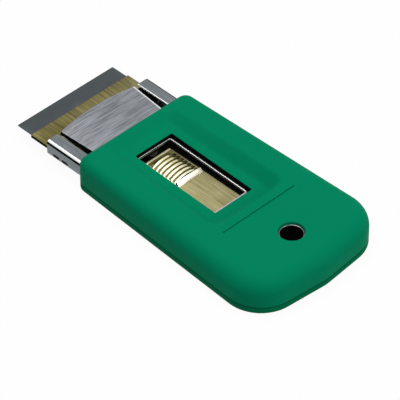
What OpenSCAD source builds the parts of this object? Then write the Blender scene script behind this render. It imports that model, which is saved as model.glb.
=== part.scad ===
// Hand scraper that holds a single-edge blade on a sliding carrier.
// X runs along the tool: the cutting edge points to -X and the hanging hole is near +X.
// Y runs across the tool. Z is up, and z = 0 is the flat underside that it rests on.
// All sizes are in millimetres. The slider is drawn fully out, as the tool is used.

/* [Blade] */
// Width of the blade along its cutting edge
blade_w = 39; // [36:0.5:42]
// Depth of the blade from cutting edge to back
blade_l = 19; // [18:0.5:21]
// Thickness of the blade steel
blade_t = 0.25; // [0.2:0.05:0.35]
// Length of the ground bevel behind the cutting edge
bevel_l = 1.4; // [0.8:0.1:2.5]
// Radius of the hole in the middle of the blade
blade_hole_r = 1.6; // [1:0.1:2]
// Depth of the folded strip on the back of the blade
spine_l = 5; // [4:0.25:5.5]
// Thickness of the folded strip
spine_t = 1.2; // [1:0.1:1.4]
// How much shorter than the blade the folded strip is at each end
spine_inset = 0.4; // [0.2:0.1:1]

/* [Slider] */
// Sheet thickness of the slider
slider_t = 0.45; // [0.35:0.05:0.6]
// Length of bare blade in front of the slider
blade_bare = 6.6; // [5.5:0.1:8]
// Length of the side lips at the front of the slider
lip_l = 7.8; // [4:0.2:8]
// How far the side lips reach below the blade
lip_drop = 0.3; // [0.1:0.05:0.4]
// Width of the tongue that runs back to the thumb pad
tongue_w = 10.8; // [9:0.2:12]
// How far the slider travels from fully out to fully in
travel = 15; // [14.6:0.1:15.4]
// Gap between the slider and what it slides in
slide_gap = 0.15; // [0.1:0.05:0.2]
// Gap between the blade's ends and the side lips
blade_gap = 0.1; // [0.05:0.05:0.15]

/* [Thumb pad] */
// Length of the pressed thumb pad
pad_l = 13.8; // [12.6:0.2:15]
// Width of the thumb pad
pad_w = 9.8; // [9:0.2:10]
// Height of the thumb pad above the tongue
pad_h = 1.6; // [1.5:0.1:2.2]
// Number of ribs across the thumb pad
rib_n = 7; // [4:1:9]
// Radius of each rib
rib_r = 0.6; // [0.4:0.05:0.7]
// Radius of the bead along the back of the thumb pad
bead_r = 0.75; // [0.6:0.05:0.9]
// Radius of the thumb pad's crown, seen from behind
pad_crown_r = 14; // [14:0.5:18]
// Height of the lip along the front of the thumb pad
pad_lip_h = 0.4; // [0.3:0.1:0.7]
// Length of the plain ramp in front of the ribs
pad_lead = 2.8; // [2:0.2:3.6]
// Distance from the thumb pad, slid fully back, to the end of the cover plate's window
pad_gap = 1.2; // [0.5:0.1:2]

/* [Sheath] */
// Sheet thickness of the sheath
sheath_t = 0.6; // [0.5:0.05:0.7]
// Height of the sheath's folded sides
sheath_h = 5.55; // [5.4:0.05:6]
// Outer radius of the sheath's folded edges
fold_r = 1.2; // [0.9:0.1:1.6]
// Length of sheath that shows in front of the grip
sheath_bare = 14.3; // [13:0.1:16]
// Distance from the cutting edge back to the mouth of the sheath
blade_reach = 14.5; // [14.1:0.1:14.6]
// Length of the folded sides that the grip covers
side_tail = 8.2; // [5:0.1:9]
// Width of the flat tail inside the grip
tail_w = 38; // [36:0.5:39]
// Distance from the back of the tail to the back of the grip
tail_inset = 6.5; // [5:0.5:8]
// Width of each folded ledge along the top of the sheath
ledge_w = 4.5; // [3.5:0.1:4.7]
// Length of each oblong cut-out in the side walls
side_slot_l = 2.8; // [1.5:0.1:3.5]
// Height of each oblong cut-out in the side walls
side_slot_h = 0.9; // [0.5:0.1:1]
// Setback of the first cut-out from the mouth of the sheath
side_slot_setback = 2.6; // [1.5:0.1:4]
// Wall left between the two cut-outs of a side
side_slot_bridge = 0.9; // [0.6:0.1:1.5]

/* [Cover plate] */
// Width of the cover plate at the mouth of the sheath
cover_front_w = 30.6; // [28:0.2:31]
// Width of the cover plate inside the grip
cover_rear_w = 26.8; // [25:0.2:27]
// How far the cover plate's front lies below the ledges
cover_sink = 0.15; // [0.05:0.05:0.4]
// How far the cover plate drops for each millimetre that it runs back
cover_slope = 0.0247; // [0:0.001:0.03]
// Depth of the stiffening lips along the front of the cover plate
cover_lip = 1.1; // [0.7:0.1:1.3]
// How far the middle of the cover plate's front edge bows out ahead of its corners
cover_bow = 1.8; // [0.5:0.1:2.5]
// Length over which the cover plate narrows inside the grip
cover_taper_tail = 5; // [3:0.5:7]
// Length of cover plate behind the window
cover_tail = 8; // [6:0.5:9]
// Distance from the front of the window to the first pair of feet
foot_setback = 12; // [9:0.5:14]
// Width of the window in the cover plate
cover_window_w = 12.8; // [11:0.2:13.4]
// Setback of the cover plate's window inside the front of the grip's window
window_step = 0.3; // [0.2:0.1:1]
// Setback of the cover plate's window inside the back of the grip's window
window_rear_step = 1.5; // [0.5:0.1:2]

/* [Grip] */
// Length of the grip
grip_l = 81.4; // [80.5:0.1:85]
// Width of the grip at its front
grip_front_w = 45.4; // [45:0.2:48]
// Width of the grip at its back
grip_rear_w = 51.7; // [50:0.1:54]
// Thickness of the grip
grip_t = 11.8; // [11.4:0.1:13]
// Height of the seam between the two halves of the grip
seam_z = 2.7; // [2.2:0.1:2.7]
// Radius of the grip's front corners, seen from above
front_r = 3.4; // [3.2:0.1:6]
// Radius of the grip's back corners, seen from above
rear_r = 12.4; // [10:0.1:16]
// Rounding of the top edge at the front
front_edge_r = 3; // [1.5:0.1:3.1]
// Rounding of the top edge at the back
rear_edge_r = 5.4; // [3:0.1:6.5]
// Rounding of the lower edge
foot_edge_r = 1.2; // [0.6:0.1:1.6]
// How far the lower half is set in behind the upper half along the seam
seam_step = 0.3; // [0.1:0.05:0.5]
// Height of the sheath's underside above the rest face
sheath_z = 2.9; // [2.8:0.05:3.2]
// Clearance of the grip round the sheath
grip_gap = 0.1; // [0.05:0.05:0.2]
// Thickness of the grip over the cover plate
rim_t = 1.4; // [1.2:0.05:2.2]

/* [Window and recess] */
// Distance from the front of the grip to its window
window_setback = 9.7; // [8.5:0.1:10.5]
// Length of the window in the grip
window_l = 33.6; // [33:0.2:35]
// Width of the window in the grip
window_w = 14.8; // [14:0.2:17]
// Width of the thumb recess at its front
recess_front_w = 27.4; // [24:0.2:30]
// Width of the thumb recess at its back
recess_w = 29.8; // [27:0.2:32]
// Run of the recess's sloping sides
recess_slope = 4; // [2.5:0.5:5]
// Distance from the window's back to the top of the recess
recess_tail = 7; // [5:0.5:8]
// Corner radius of the recess
recess_r = 5; // [3:0.5:6]

/* [Hanging hole and groove] */
// Radius of the hanging hole in the grip
hang_r = 3.9; // [3.4:0.1:4.4]
// Distance from the back of the grip to the hanging hole
hang_inset = 14.6; // [13.2:0.1:15.6]
// Wall of the eyelet that lines the hanging hole
eyelet_t = 0.4; // [0.3:0.05:0.5]
// How far the eyelet stops below the top of the grip
eyelet_sink = 0.9; // [0.5:0.1:1.5]
// Radius of the eyelet's flange on the underside
eyelet_flange_r = 5.2; // [4.9:0.1:6]
// Length of the groove across the back of the grip
groove_l = 29.6; // [20:0.2:34]
// Width of the groove
groove_w = 0.5; // [0.3:0.1:1]
// Depth of the groove
groove_d = 0.4; // [0.2:0.1:0.8]
// Distance from the back of the recess to the groove
groove_gap = 3.3; // [2:0.1:4]

/* [Fasteners] */
// Radius of the shank of each rivet
rivet_r = 1.2; // [0.9:0.1:1.4]
// Radius of the head of each rivet
rivet_head_r = 1.9; // [1.7:0.1:2.1]
// Height of the head of each rivet
rivet_head_h = 0.5; // [0.3:0.1:0.6]
// Radius of the pin that stops the slider
stop_r = 1.5; // [1.2:0.1:1.7]
// Radius of the stop pin's head
stop_head_r = 2.3; // [2:0.1:2.5]
// Radius of the shank of each grip screw
screw_r = 0.95; // [0.8:0.05:1.1]
// Radius of the head of each grip screw
screw_head_r = 2.1; // [1.8:0.1:2.3]
// Radius of the pegs that the grip screws bite into
peg_r = 2.4; // [2.2:0.1:2.6]
// Distance from the front of the grip to the front pair of pegs
peg_setback = 13.7; // [12.5:0.1:15]
// Distance from the rear pair of pegs to the hanging hole
peg_lead = 7.6; // [7:0.1:9]
// Clearance of rivets and screws in their holes
hole_gap = 0.1; // [0.05:0.05:0.15]

/* [Spring] */
// Sheet thickness of the leaf spring
spring_t = 0.3; // [0.2:0.05:0.35]
// Width of the leaf spring
spring_w = 6; // [4:0.5:8]
// Length of the leaf spring
spring_l = 19; // [16:0.5:20]
// Distance from the cover plate's end to the rivet of the leaf spring
spring_setback = 1.4; // [1.2:0.1:2.2]

/* [Hidden] */
$fn = 64;
cut = 1;         // how far a cutting shape runs past the face that it cuts
skin = 0.01;     // thickness of the slices that a blended shape is stretched over

// Places along X
total_l = blade_reach + sheath_bare + grip_l;
edge_x = -total_l / 2;
blade_back_x = edge_x + blade_l;
slider_x = edge_x + blade_bare;
mouth_x = edge_x + blade_reach;
grip_x = mouth_x + sheath_bare;
back_x = total_l / 2;
side_end_x = grip_x + side_tail;
tail_x = back_x - tail_inset;
window_x = grip_x + window_setback;
window_end_x = window_x + window_l;
cover_window_x = window_x + window_step;
cover_window_end_x = window_end_x - window_rear_step;
hang_x = back_x - hang_inset;
recess_end_x = window_end_x + recess_tail;
groove_x = recess_end_x + groove_gap;

// Heights
floor_z = sheath_z + sheath_t;
under_lip_z = floor_z + slide_gap;
spine_z = under_lip_z + slider_t;
blade_z = spine_z + spine_t / 2;
plate_z = blade_z + blade_t / 2;
plate_top_z = plate_z + slider_t;
ridge_z = spine_z + spine_t;
ridge_top_z = ridge_z + slider_t;
ledge_z = sheath_z + sheath_h;
spring_top_z = plate_z - slide_gap;

// Slider: widths across Y, and the places of its parts along X
slider_w = blade_w + 2 * (blade_gap + slider_t);
slider_body_w = slider_w - 2 * slider_t;
sheath_w = slider_w + 2 * (slide_gap + sheath_t);
spine_gap = 0.05;
spine_x = blade_back_x - spine_l;
step_x = spine_x - spine_gap - slider_t;
ridge_end_x = blade_back_x + spine_gap + slider_t;
shoulder_l = 1.5;
taper_l = 5;
lip_root_x = min(slider_x + lip_l, step_x + slider_t);
stop_wall = 0.9;
stop_shoulder = 0.4;
stop_x = ridge_end_x + stop_wall + stop_r + slide_gap + travel;
slot_r = stop_r + slide_gap;
pad_end_x = cover_window_end_x - travel - pad_gap;
pad_x = pad_end_x - pad_l;
tongue_tail = 2.4;
tongue_end_x = cover_window_end_x + tongue_tail;

// Cover plate
cover_top_z = ledge_z - cover_sink;
cover_side_x = side_end_x + cover_taper_tail;
cover_taper_l = cover_side_x - mouth_x;
cover_end_x = window_end_x + cover_tail;
cover_foot_w = 4.3;
side_slot_drop = 0.25;
cover_foot_l = 8;
foot_xs = [window_x + foot_setback, window_end_x];
foot_y = cover_rear_w / 2 + cover_foot_w / 2;

// Grip
rear_bow = 1.2;
peg_y = 16;
peg_xs = [grip_x + peg_setback, hang_x - peg_lead];
cavity_end_x = tail_x + grip_gap;
recess_lead = 0.6;
bed_inset = 1;
recess_ramp = 6;
screw_sink = 0.25;
screw_head_h = 0.9;
screw_top_z = 6.6;

// Spring
spring_rivet_x = cover_end_x + spring_setback;
spring_tail = 3;
nib_l = 2.4;

// Height of the cover plate's upper face at x, and of the recess floor above it
function cover_z(x) = cover_top_z - cover_slope * (x - mouth_x);
function recess_z(x) = cover_z(x) + grip_gap + rim_t;

// Extrudes a shape drawn in X and Z across the tool, centred on y
module across(w, y = 0)
    translate([0, y + w / 2, 0]) rotate([90, 0, 0]) linear_extrude(w) children();

// Box from x0 to x1 and z0 to z1, w wide and centred on the tool
module bar(x0, x1, w, z0, z1)
    translate([x0, -w / 2, z0]) cube([x1 - x0, w, z1 - z0]);

// Rectangle with round corners, centred
module round_rect(w, h, r) {
    square([w, h - 2 * r], center = true);
    square([w - 2 * r, h], center = true);
    for (x = [-1, 1], y = [-1, 1])
        translate([x * (w / 2 - r), y * (h / 2 - r)]) circle(r);
}

// Upright pin from z0 to z1
module post(x, y, r, z0, z1) translate([x, y, z0]) cylinder(r = r, h = z1 - z0);

// The same thing at both sides of the tool and at each x of a list
module at_corners(xs, y) for (x = xs, s = [-1, 1]) translate([x, s * y, 0]) children();

// --- what slides ---

module blade() color([0.29, 0.33, 0.35]) difference() {
    across(blade_w) polygon([
        [edge_x, blade_z],
        [edge_x + bevel_l, blade_z - blade_t / 2],
        [blade_back_x, blade_z - blade_t / 2],
        [blade_back_x, blade_z + blade_t / 2],
        [edge_x + bevel_l, blade_z + blade_t / 2]]);
    post(slider_x + blade_hole_r * 0.6, 0, blade_hole_r, blade_z - cut, blade_z + cut);
}

// Strip folded over the back of the blade
module blade_spine() color([0.62, 0.63, 0.64]) across(blade_w - 2 * spine_inset) difference() {
    translate([spine_x, spine_z]) square([spine_l + spine_gap, spine_t]);
    translate([spine_x - cut, blade_z - blade_t / 2]) square([spine_l + cut, blade_t]);
}

module slider_outline() polygon([
    [ridge_end_x - slider_t, slider_body_w / 2],
    [ridge_end_x + shoulder_l, slider_body_w / 2],
    [ridge_end_x + shoulder_l + taper_l, tongue_w / 2],
    [tongue_end_x, tongue_w / 2],
    [tongue_end_x, -tongue_w / 2],
    [ridge_end_x + shoulder_l + taper_l, -tongue_w / 2],
    [ridge_end_x + shoulder_l, -slider_body_w / 2],
    [ridge_end_x - slider_t, -slider_body_w / 2]]);

// Carrier plate: it lies on the blade, wraps the folded strip and runs back as a tongue
module blade_slider() color([0.55, 0.5, 0.28]) difference() {
    union() {
        across(slider_body_w) polygon([
            [slider_x, plate_z],
            [step_x + slider_t, plate_z],
            [step_x + slider_t, ridge_z],
            [ridge_end_x - slider_t, ridge_z],
            [ridge_end_x - slider_t, spine_z],
            [spine_x, spine_z],
            [spine_x, under_lip_z],
            [ridge_end_x, under_lip_z],
            [ridge_end_x, ridge_top_z],
            [step_x, ridge_top_z],
            [step_x, plate_top_z],
            [slider_x, plate_top_z]]);
        translate([0, 0, plate_z]) linear_extrude(slider_t) slider_outline();
        bar(slider_x, lip_root_x, slider_w, plate_z, plate_top_z);
        for (s = [-1, 1])
            translate([0, s * (slider_w - slider_t) / 2, 0])
                bar(slider_x, slider_x + lip_l, slider_t, blade_z - blade_t / 2 - lip_drop, plate_top_z);
    }
    // slot that rides on the stop pin
    bar(stop_x - travel, stop_x, 2 * slot_r, plate_z - cut, plate_top_z + cut);
    for (x = [stop_x - travel, stop_x]) post(x, 0, slot_r, plate_z - cut, plate_top_z + cut);
}

// Ring round an axis along X: its upper part is a rib that arches over the thumb pad
module rib_ring(x, z) translate([x, 0, z]) rotate([0, 90, 0])
    rotate_extrude() translate([pad_crown_r - rib_r, 0]) circle(rib_r, $fn = 32);

// Ribbed and crowned pad that the thumb pushes, fixed on the tongue
module thumb_pad() color([0.72, 0.66, 0.42]) {
    top_z = plate_top_z + pad_h;
    base_z = top_z - rib_r;
    crown_z = top_z - pad_crown_r;
    rib_x0 = pad_x + pad_lead;
    rib_x1 = pad_end_x - 2 * bead_r - rib_r;
    rib_step = (rib_x1 - rib_x0) / (rib_n - 1);
    lip_end_x = pad_x + pad_lead / 3;
    lip_middle_x = (pad_x + lip_end_x) / 2;
    bar(pad_x, lip_end_x, pad_w, plate_top_z, plate_top_z + pad_lip_h);
    intersection() {
        across(pad_w) polygon([
            [lip_middle_x, plate_top_z],
            [lip_middle_x, plate_top_z + pad_lip_h / 2],
            [lip_end_x, plate_top_z + pad_lip_h / 2],
            [rib_x0, base_z],
            [pad_end_x - bead_r, base_z],
            [pad_end_x - bead_r, plate_top_z]]);
        translate([pad_x - cut, 0, crown_z])
            rotate([0, 90, 0]) cylinder(r = pad_crown_r - rib_r, h = pad_l + 2 * cut, $fn = 128);
    }
    intersection() {
        for (i = [0 : rib_n - 1]) rib_ring(rib_x0 + i * rib_step, crown_z);
        bar(pad_x, pad_end_x, pad_w, plate_top_z, top_z + cut);
    }
    across(pad_w) union() {
        translate([pad_end_x - bead_r, top_z - bead_r]) circle(bead_r);
        translate([pad_end_x - 2 * bead_r, plate_top_z]) square([2 * bead_r, pad_h - bead_r]);
    }
}

// --- sheath ---

// Cross-section of the folded channel, drawn with the tool's Y as its x
module channel_section() translate([0, sheath_z + sheath_h / 2]) difference() {
    round_rect(sheath_w, sheath_h, fold_r);
    round_rect(sheath_w - 2 * sheath_t, sheath_h - 2 * sheath_t, fold_r - sheath_t);
    translate([-sheath_w / 2 + ledge_w, 0]) square([sheath_w - 2 * ledge_w, sheath_h]);
}

module along(x0, x1) translate([x0, 0, 0]) rotate([90, 0, 90]) linear_extrude(x1 - x0) children();

// Two oblong cut-outs in a row, through both side walls
module side_slots() {
    r = side_slot_h / 2;
    z = blade_z - side_slot_drop;
    for (i = [0, 1]) {
        x0 = mouth_x + side_slot_setback + i * (side_slot_l + side_slot_bridge) + r;
        x1 = x0 + side_slot_l - 2 * r;
        across(sheath_w + 2 * cut) union() {
            translate([x0, z - r]) square([x1 - x0, 2 * r]);
            for (x = [x0, x1]) translate([x, z]) circle(r);
        }
    }
}

module sheath_tray() color([0.62, 0.63, 0.66]) difference() {
    union() {
        along(mouth_x, side_end_x) channel_section();
        translate([0, 0, sheath_z]) linear_extrude(sheath_t) tail_outline();
    }
    side_slots();
    at_corners(peg_xs, peg_y) cylinder(r = screw_r + 2 * hole_gap, h = 4 * floor_z, center = true);
    at_corners(foot_xs, foot_y) cylinder(r = rivet_r + hole_gap, h = 4 * floor_z, center = true);
    post(stop_x, 0, stop_r - stop_shoulder + hole_gap, 0, ledge_z);
    post(spring_rivet_x, 0, rivet_r + hole_gap, 0, ledge_z);
    post(hang_x, 0, hang_r + hole_gap, 0, ledge_z);
}

// Flat tail of the tray, with round back corners
module tail_outline() {
    r = 8;
    translate([side_end_x - fold_r, -tail_w / 2]) square([tail_x - r - side_end_x + fold_r, tail_w]);
    translate([tail_x - r - cut, -tail_w / 2 + r]) square([r + cut, tail_w - 2 * r]);
    for (s = [-1, 1]) translate([tail_x - r, s * (tail_w / 2 - r)]) circle(r);
}

// Outline of the cover plate with its sides drawn in by d, and its front, which bows forward
module cover_outline(d) polygon(concat(
    [[cover_side_x, cover_rear_w / 2 - d],
     [cover_end_x, cover_rear_w / 2 - d],
     [cover_end_x, -cover_rear_w / 2 + d],
     [cover_side_x, -cover_rear_w / 2 + d]],
    [for (t = [-1 : 0.125 : 1])
        [mouth_x - cover_bow * (1 - t * t) - (d > 0 ? cut : 0), t * (cover_front_w / 2 - d)]]));

// Slab between two levels that follow the cover plate's slope
module sloping_slab(x0, x1, up0, up1, w) across(w) polygon([
    [x0, cover_z(x0) + up0], [x1, cover_z(x1) + up0],
    [x1, cover_z(x1) + up1], [x0, cover_z(x0) + up1]]);

module cover_plate() color([0.6, 0.6, 0.64]) difference() {
    union() {
        intersection() {
            linear_extrude(2 * ledge_z) cover_outline(0);
            sloping_slab(mouth_x - cover_bow - cut, cover_end_x, -sheath_t, 0, cover_front_w + 2 * cut);
        }
        // stiffening lips along the sides of its front part
        difference() {
            intersection() {
                linear_extrude(2 * ledge_z) cover_outline(0);
                sloping_slab(mouth_x, cover_side_x, -cover_lip, -sheath_t / 2, cover_front_w + 2 * cut);
            }
            linear_extrude(2 * ledge_z) cover_outline(sheath_t);
        }
        // side walls that stand on the tray, and their feet
        for (s = [-1, 1])
            across(sheath_t, s * (cover_rear_w - sheath_t) / 2) polygon([
                [cover_side_x, floor_z],
                [cover_end_x, floor_z],
                [cover_end_x, cover_z(cover_end_x) - sheath_t / 2],
                [cover_side_x, cover_z(cover_side_x) - sheath_t / 2]]);
        for (x = foot_xs, s = [-1, 1])
            translate([x - cover_foot_l / 2,
                       s > 0 ? cover_rear_w / 2 - sheath_t : -cover_rear_w / 2 - cover_foot_w,
                       floor_z])
                cube([cover_foot_l, cover_foot_w + sheath_t, sheath_t]);
    }
    bar(cover_window_x, cover_window_end_x, cover_window_w, plate_top_z, 2 * ledge_z);
    at_corners(foot_xs, foot_y) post(0, 0, rivet_r + hole_gap, sheath_z, plate_top_z);
}

// Rivet whose shank starts at z = 0 and whose head sits at height h
module rivet(h) {
    cylinder(r = rivet_r, h = h);
    translate([0, 0, h]) cylinder(r1 = rivet_head_r, r2 = rivet_head_r * 0.7, h = rivet_head_h);
}

// Four rivets through the cover plate's feet and the tray
module cover_rivets() color([0.5, 0.5, 0.52])
    at_corners(foot_xs, foot_y) translate([0, 0, sheath_z]) rivet(2 * sheath_t);

// Headed pin in the tray: its slot in the slider sets both ends of the travel
module stop_pin() color([0.5, 0.5, 0.52]) {
    post(stop_x, 0, stop_r - stop_shoulder, sheath_z, floor_z);
    post(stop_x, 0, stop_r, floor_z, plate_top_z + 2 * slide_gap);
    post(stop_x, 0, stop_head_r, plate_top_z + slide_gap, plate_top_z + slide_gap + rivet_head_h);
}

// Leaf spring under the tongue: its raised nib makes the slider click
module detent_spring() color([0.45, 0.47, 0.5]) {
    x1 = spring_rivet_x + spring_tail;
    x0 = x1 - spring_l;
    nib_z = spring_top_z - spring_t;
    difference() {
        across(spring_w) polygon([
            [x1, floor_z],
            [x1, floor_z + spring_t],
            [spring_rivet_x - spring_tail, floor_z + spring_t],
            [x0 + nib_l, spring_top_z],
            [x0 + nib_l / 2, spring_top_z],
            [x0, nib_z],
            [x0, nib_z - spring_t],
            [x0 + nib_l / 2, nib_z],
            [x0 + nib_l, nib_z],
            [spring_rivet_x - spring_tail, floor_z]]);
        post(spring_rivet_x, 0, rivet_r + hole_gap, sheath_z, plate_z);
    }
}

module spring_rivet() color([0.5, 0.5, 0.52])
    translate([spring_rivet_x, 0, sheath_z]) rivet(sheath_t + spring_t);

// --- grip ---

// Round pillow that the grip's outline is stretched over
module pillow(x, y, r, edge_r) translate([x, y, 0]) rotate_extrude($fn = 48) polygon(concat(
    [[0, grip_t], [0, 0], [r - foot_edge_r, 0],
     [r - foot_edge_r * 0.3, foot_edge_r * 0.3], [r, foot_edge_r]],
    [for (a = [0 : 10 : 90]) [r - edge_r + edge_r * cos(a), grip_t - edge_r + edge_r * sin(a)]]));

// The whole grip as one solid
module grip_solid() hull() {
    for (s = [-1, 1]) {
        pillow(grip_x + front_r, s * (grip_front_w / 2 - front_r), front_r, front_edge_r);
        pillow(back_x - rear_r - rear_bow, s * (grip_rear_w / 2 - rear_r), rear_r, rear_edge_r);
    }
    pillow(back_x - rear_r, 0, rear_r, rear_edge_r);
}

// Thumb recess: it leads in from the front and its floor follows the cover plate
module thumb_recess() hull() {
    translate([0, 0, grip_t]) linear_extrude(2 * cut)
        recess_outline(grip_x + recess_lead, recess_end_x, 0, recess_r, 32);
    intersection() {
        linear_extrude(2 * grip_t)
            recess_outline(grip_x + recess_ramp, recess_end_x - recess_slope,
                           recess_slope, recess_r / 2, 32);
        across(recess_w) polygon([
            [grip_x, recess_z(grip_x)],
            [recess_end_x, recess_z(recess_end_x)],
            [recess_end_x, recess_z(recess_end_x) + skin],
            [grip_x, recess_z(grip_x) + skin]]);
    }
}

// The recess's plan from x0 to x1 with its sides drawn in by d: it widens to two round back corners
module recess_outline(x0, x1, d, r, sides) {
    w0 = recess_front_w - 2 * d;
    w1 = recess_w - 2 * d;
    polygon([
        [x0, w0 / 2],
        [x1 - r, w1 / 2],
        [x1, w1 / 2 - r],
        [x1, r - w1 / 2],
        [x1 - r, -w1 / 2],
        [x0, -w0 / 2]]);
    for (s = [-1, 1]) translate([x1 - r, s * (w1 / 2 - r)]) circle(r, $fn = sides);
}

// Room inside the grip for the channel in front and for the tail behind it
module grip_cavity() {
    bar(grip_x - cut, side_end_x + grip_gap, sheath_w + 2 * grip_gap, 0, ledge_z + grip_gap / 2);
    across(tail_w + 2 * grip_gap) polygon([
        [side_end_x, 0],
        [cavity_end_x, 0],
        [cavity_end_x, cover_z(cavity_end_x) + grip_gap],
        [side_end_x, cover_z(side_end_x) + grip_gap]]);
}

module grip_top() color([0.0, 0.53, 0.36]) difference() {
    union() {
        difference() {
            grip_solid();
            translate([-total_l, -total_l, -cut]) cube([2 * total_l, 2 * total_l, seam_z + cut]);
            grip_cavity();
            thumb_recess();
        }
        at_corners(peg_xs, peg_y) post(0, 0, peg_r, floor_z, cover_z(grip_x) + rim_t);
    }
    bar(window_x, window_end_x, window_w, plate_top_z, grip_t + cut);
    at_corners(peg_xs, peg_y) post(0, 0, screw_r + hole_gap / 2, seam_z, screw_top_z + hole_gap);
    bar(groove_x - groove_w / 2, groove_x + groove_w / 2, groove_l, grip_t - groove_d, grip_t + cut);
    post(hang_x, 0, hang_r, 0, grip_t + cut);
}

module grip_base() color([0.0, 0.45, 0.3]) difference() {
    union() {
        intersection() {
            grip_solid();
            translate([-total_l, -total_l, -cut])
                cube([2 * total_l, 2 * total_l, seam_z - seam_step + cut]);
        }
        // set-in band that carries the seam
        translate([0, 0, seam_z - seam_step - cut]) linear_extrude(seam_step + cut) band_outline();
        // raised bed for the sheath
        bar(grip_x + front_r / 2, cavity_end_x - bed_inset, tail_w - bed_inset, seam_z - cut, sheath_z);
    }
    at_corners(peg_xs, peg_y) {
        cylinder(r = screw_r + hole_gap, h = 4 * grip_t, center = true);
        post(0, 0, screw_head_r + hole_gap, -cut, screw_sink + screw_head_h);
    }
    post(hang_x, 0, hang_r, -cut, grip_t);
    post(hang_x, 0, eyelet_flange_r + hole_gap, -cut, 2 * eyelet_t);
}

// Outline of the lower half at the seam
module band_outline() hull() {
    for (s = [-1, 1]) {
        translate([grip_x + front_r, s * (grip_front_w / 2 - front_r)])
            circle(front_r - seam_step, $fn = 48);
        translate([back_x - rear_r - rear_bow, s * (grip_rear_w / 2 - rear_r)])
            circle(rear_r - seam_step, $fn = 48);
    }
    translate([back_x - rear_r, 0]) circle(rear_r - seam_step, $fn = 48);
}

// Four screws from below, through the base and the tray into the pegs
module grip_screws() color([0.55, 0.56, 0.58]) at_corners(peg_xs, peg_y) difference() {
    union() {
        post(0, 0, screw_head_r, screw_sink, screw_sink + screw_head_h);
        post(0, 0, screw_r, screw_sink, screw_top_z);
    }
    for (a = [0, 90]) rotate([0, 0, a])
        translate([-screw_head_r * 0.6, -0.25, screw_sink - cut])
            cube([screw_head_r * 1.2, 0.5, 0.5 + cut]);
}

// Tube that lines the hanging hole and clamps both halves of the grip
module hang_eyelet() color([0.7, 0.71, 0.72]) translate([hang_x, 0, 0]) difference() {
    union() {
        post(0, 0, hang_r - hole_gap / 2, eyelet_t, grip_t - eyelet_sink);
        post(0, 0, eyelet_flange_r, eyelet_t, 2 * eyelet_t);
    }
    post(0, 0, hang_r - hole_gap / 2 - eyelet_t, -cut, grip_t + cut);
}

blade();
blade_spine();
blade_slider();
thumb_pad();
sheath_tray();
cover_plate();
cover_rivets();
stop_pin();
detent_spring();
spring_rivet();
grip_top();
grip_base();
grip_screws();
hang_eyelet();
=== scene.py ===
import math

import bmesh
import bpy
import numpy as np
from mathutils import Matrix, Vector, geometry, kdtree


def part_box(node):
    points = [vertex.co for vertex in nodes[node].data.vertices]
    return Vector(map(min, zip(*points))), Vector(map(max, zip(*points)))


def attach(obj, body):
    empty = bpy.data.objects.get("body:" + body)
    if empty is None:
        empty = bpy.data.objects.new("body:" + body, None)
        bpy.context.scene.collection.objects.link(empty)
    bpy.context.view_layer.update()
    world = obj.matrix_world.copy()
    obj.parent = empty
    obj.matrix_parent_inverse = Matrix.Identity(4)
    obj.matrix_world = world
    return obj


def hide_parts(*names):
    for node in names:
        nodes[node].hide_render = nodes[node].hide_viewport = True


mm = 0.001  # every size below is in millimetres, meshes are made in metres

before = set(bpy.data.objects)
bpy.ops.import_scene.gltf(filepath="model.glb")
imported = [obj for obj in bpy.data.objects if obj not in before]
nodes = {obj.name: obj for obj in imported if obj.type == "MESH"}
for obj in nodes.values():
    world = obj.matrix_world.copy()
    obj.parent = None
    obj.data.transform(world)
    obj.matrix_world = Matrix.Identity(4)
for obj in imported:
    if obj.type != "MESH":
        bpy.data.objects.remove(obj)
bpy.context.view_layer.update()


def boxOf(node):
    low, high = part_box(node)
    return low / mm, high / mm


gripLow, gripHigh = boxOf("grip_top")
baseLow, baseHigh = boxOf("grip_base")
trayLow, trayHigh = boxOf("sheath_tray")
coverLow, coverHigh = boxOf("cover_plate")
sliderLow, sliderHigh = boxOf("blade_slider")
padLow, padHigh = boxOf("thumb_pad")
bladeLow, bladeHigh = boxOf("blade")
spineLow, spineHigh = boxOf("blade_spine")
eyeletLow, eyeletHigh = boxOf("hang_eyelet")
screwLow, screwHigh = boxOf("grip_screws")

# places that several pieces share
layout = {
    "sheet": 0.6,            # sheet thickness of tray and cover
    "coverSlope": 0.0247,    # drop of the cover for each millimetre back
    "gap": 0.1,
    "sideTail": 8.2,         # folded sides that the grip covers
    "windowSetback": 9.7,
    "windowLength": 33.6,
    "windowWidth": 14.8,
    "screwSpread": 16.0,     # distance of the screws from the middle line
    "screwHead": 2.1,
}
windowStart = gripLow.x + layout["windowSetback"]
windowEnd = windowStart + layout["windowLength"]
sideEnd = gripLow.x + layout["sideTail"]
hangMiddle = (eyeletLow.x + eyeletHigh.x) / 2
screwXs = (screwLow.x + layout["screwHead"], screwHigh.x - layout["screwHead"])
screwSpots = [(x, side * layout["screwSpread"]) for x in screwXs for side in (-1, 1)]
plateTop = padLow.z
floorTop = trayLow.z + layout["sheet"]


def coverTop(x):
    return coverHigh.z - layout["coverSlope"] * (x - coverLow.x)


# --- making meshes ---


def makeMesh(name, verts, faces):
    mesh = bpy.data.meshes.new(name)
    mesh.from_pydata([(x * mm, y * mm, z * mm) for x, y, z in verts], [], faces)
    mesh.validate()
    work = bmesh.new()
    work.from_mesh(mesh)
    bmesh.ops.recalc_face_normals(work, faces=work.faces)
    work.to_mesh(mesh)
    work.free()
    obj = bpy.data.objects.new(name, mesh)
    bpy.context.scene.collection.objects.link(obj)
    return obj


def settle(obj):
    # turns the modifiers so far into plain mesh
    deps = bpy.context.evaluated_depsgraph_get()
    done = bpy.data.meshes.new_from_object(obj.evaluated_get(deps), depsgraph=deps)
    old = obj.data
    obj.modifiers.clear()
    obj.data = done
    done.name = obj.name
    bpy.data.meshes.remove(old)


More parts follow.
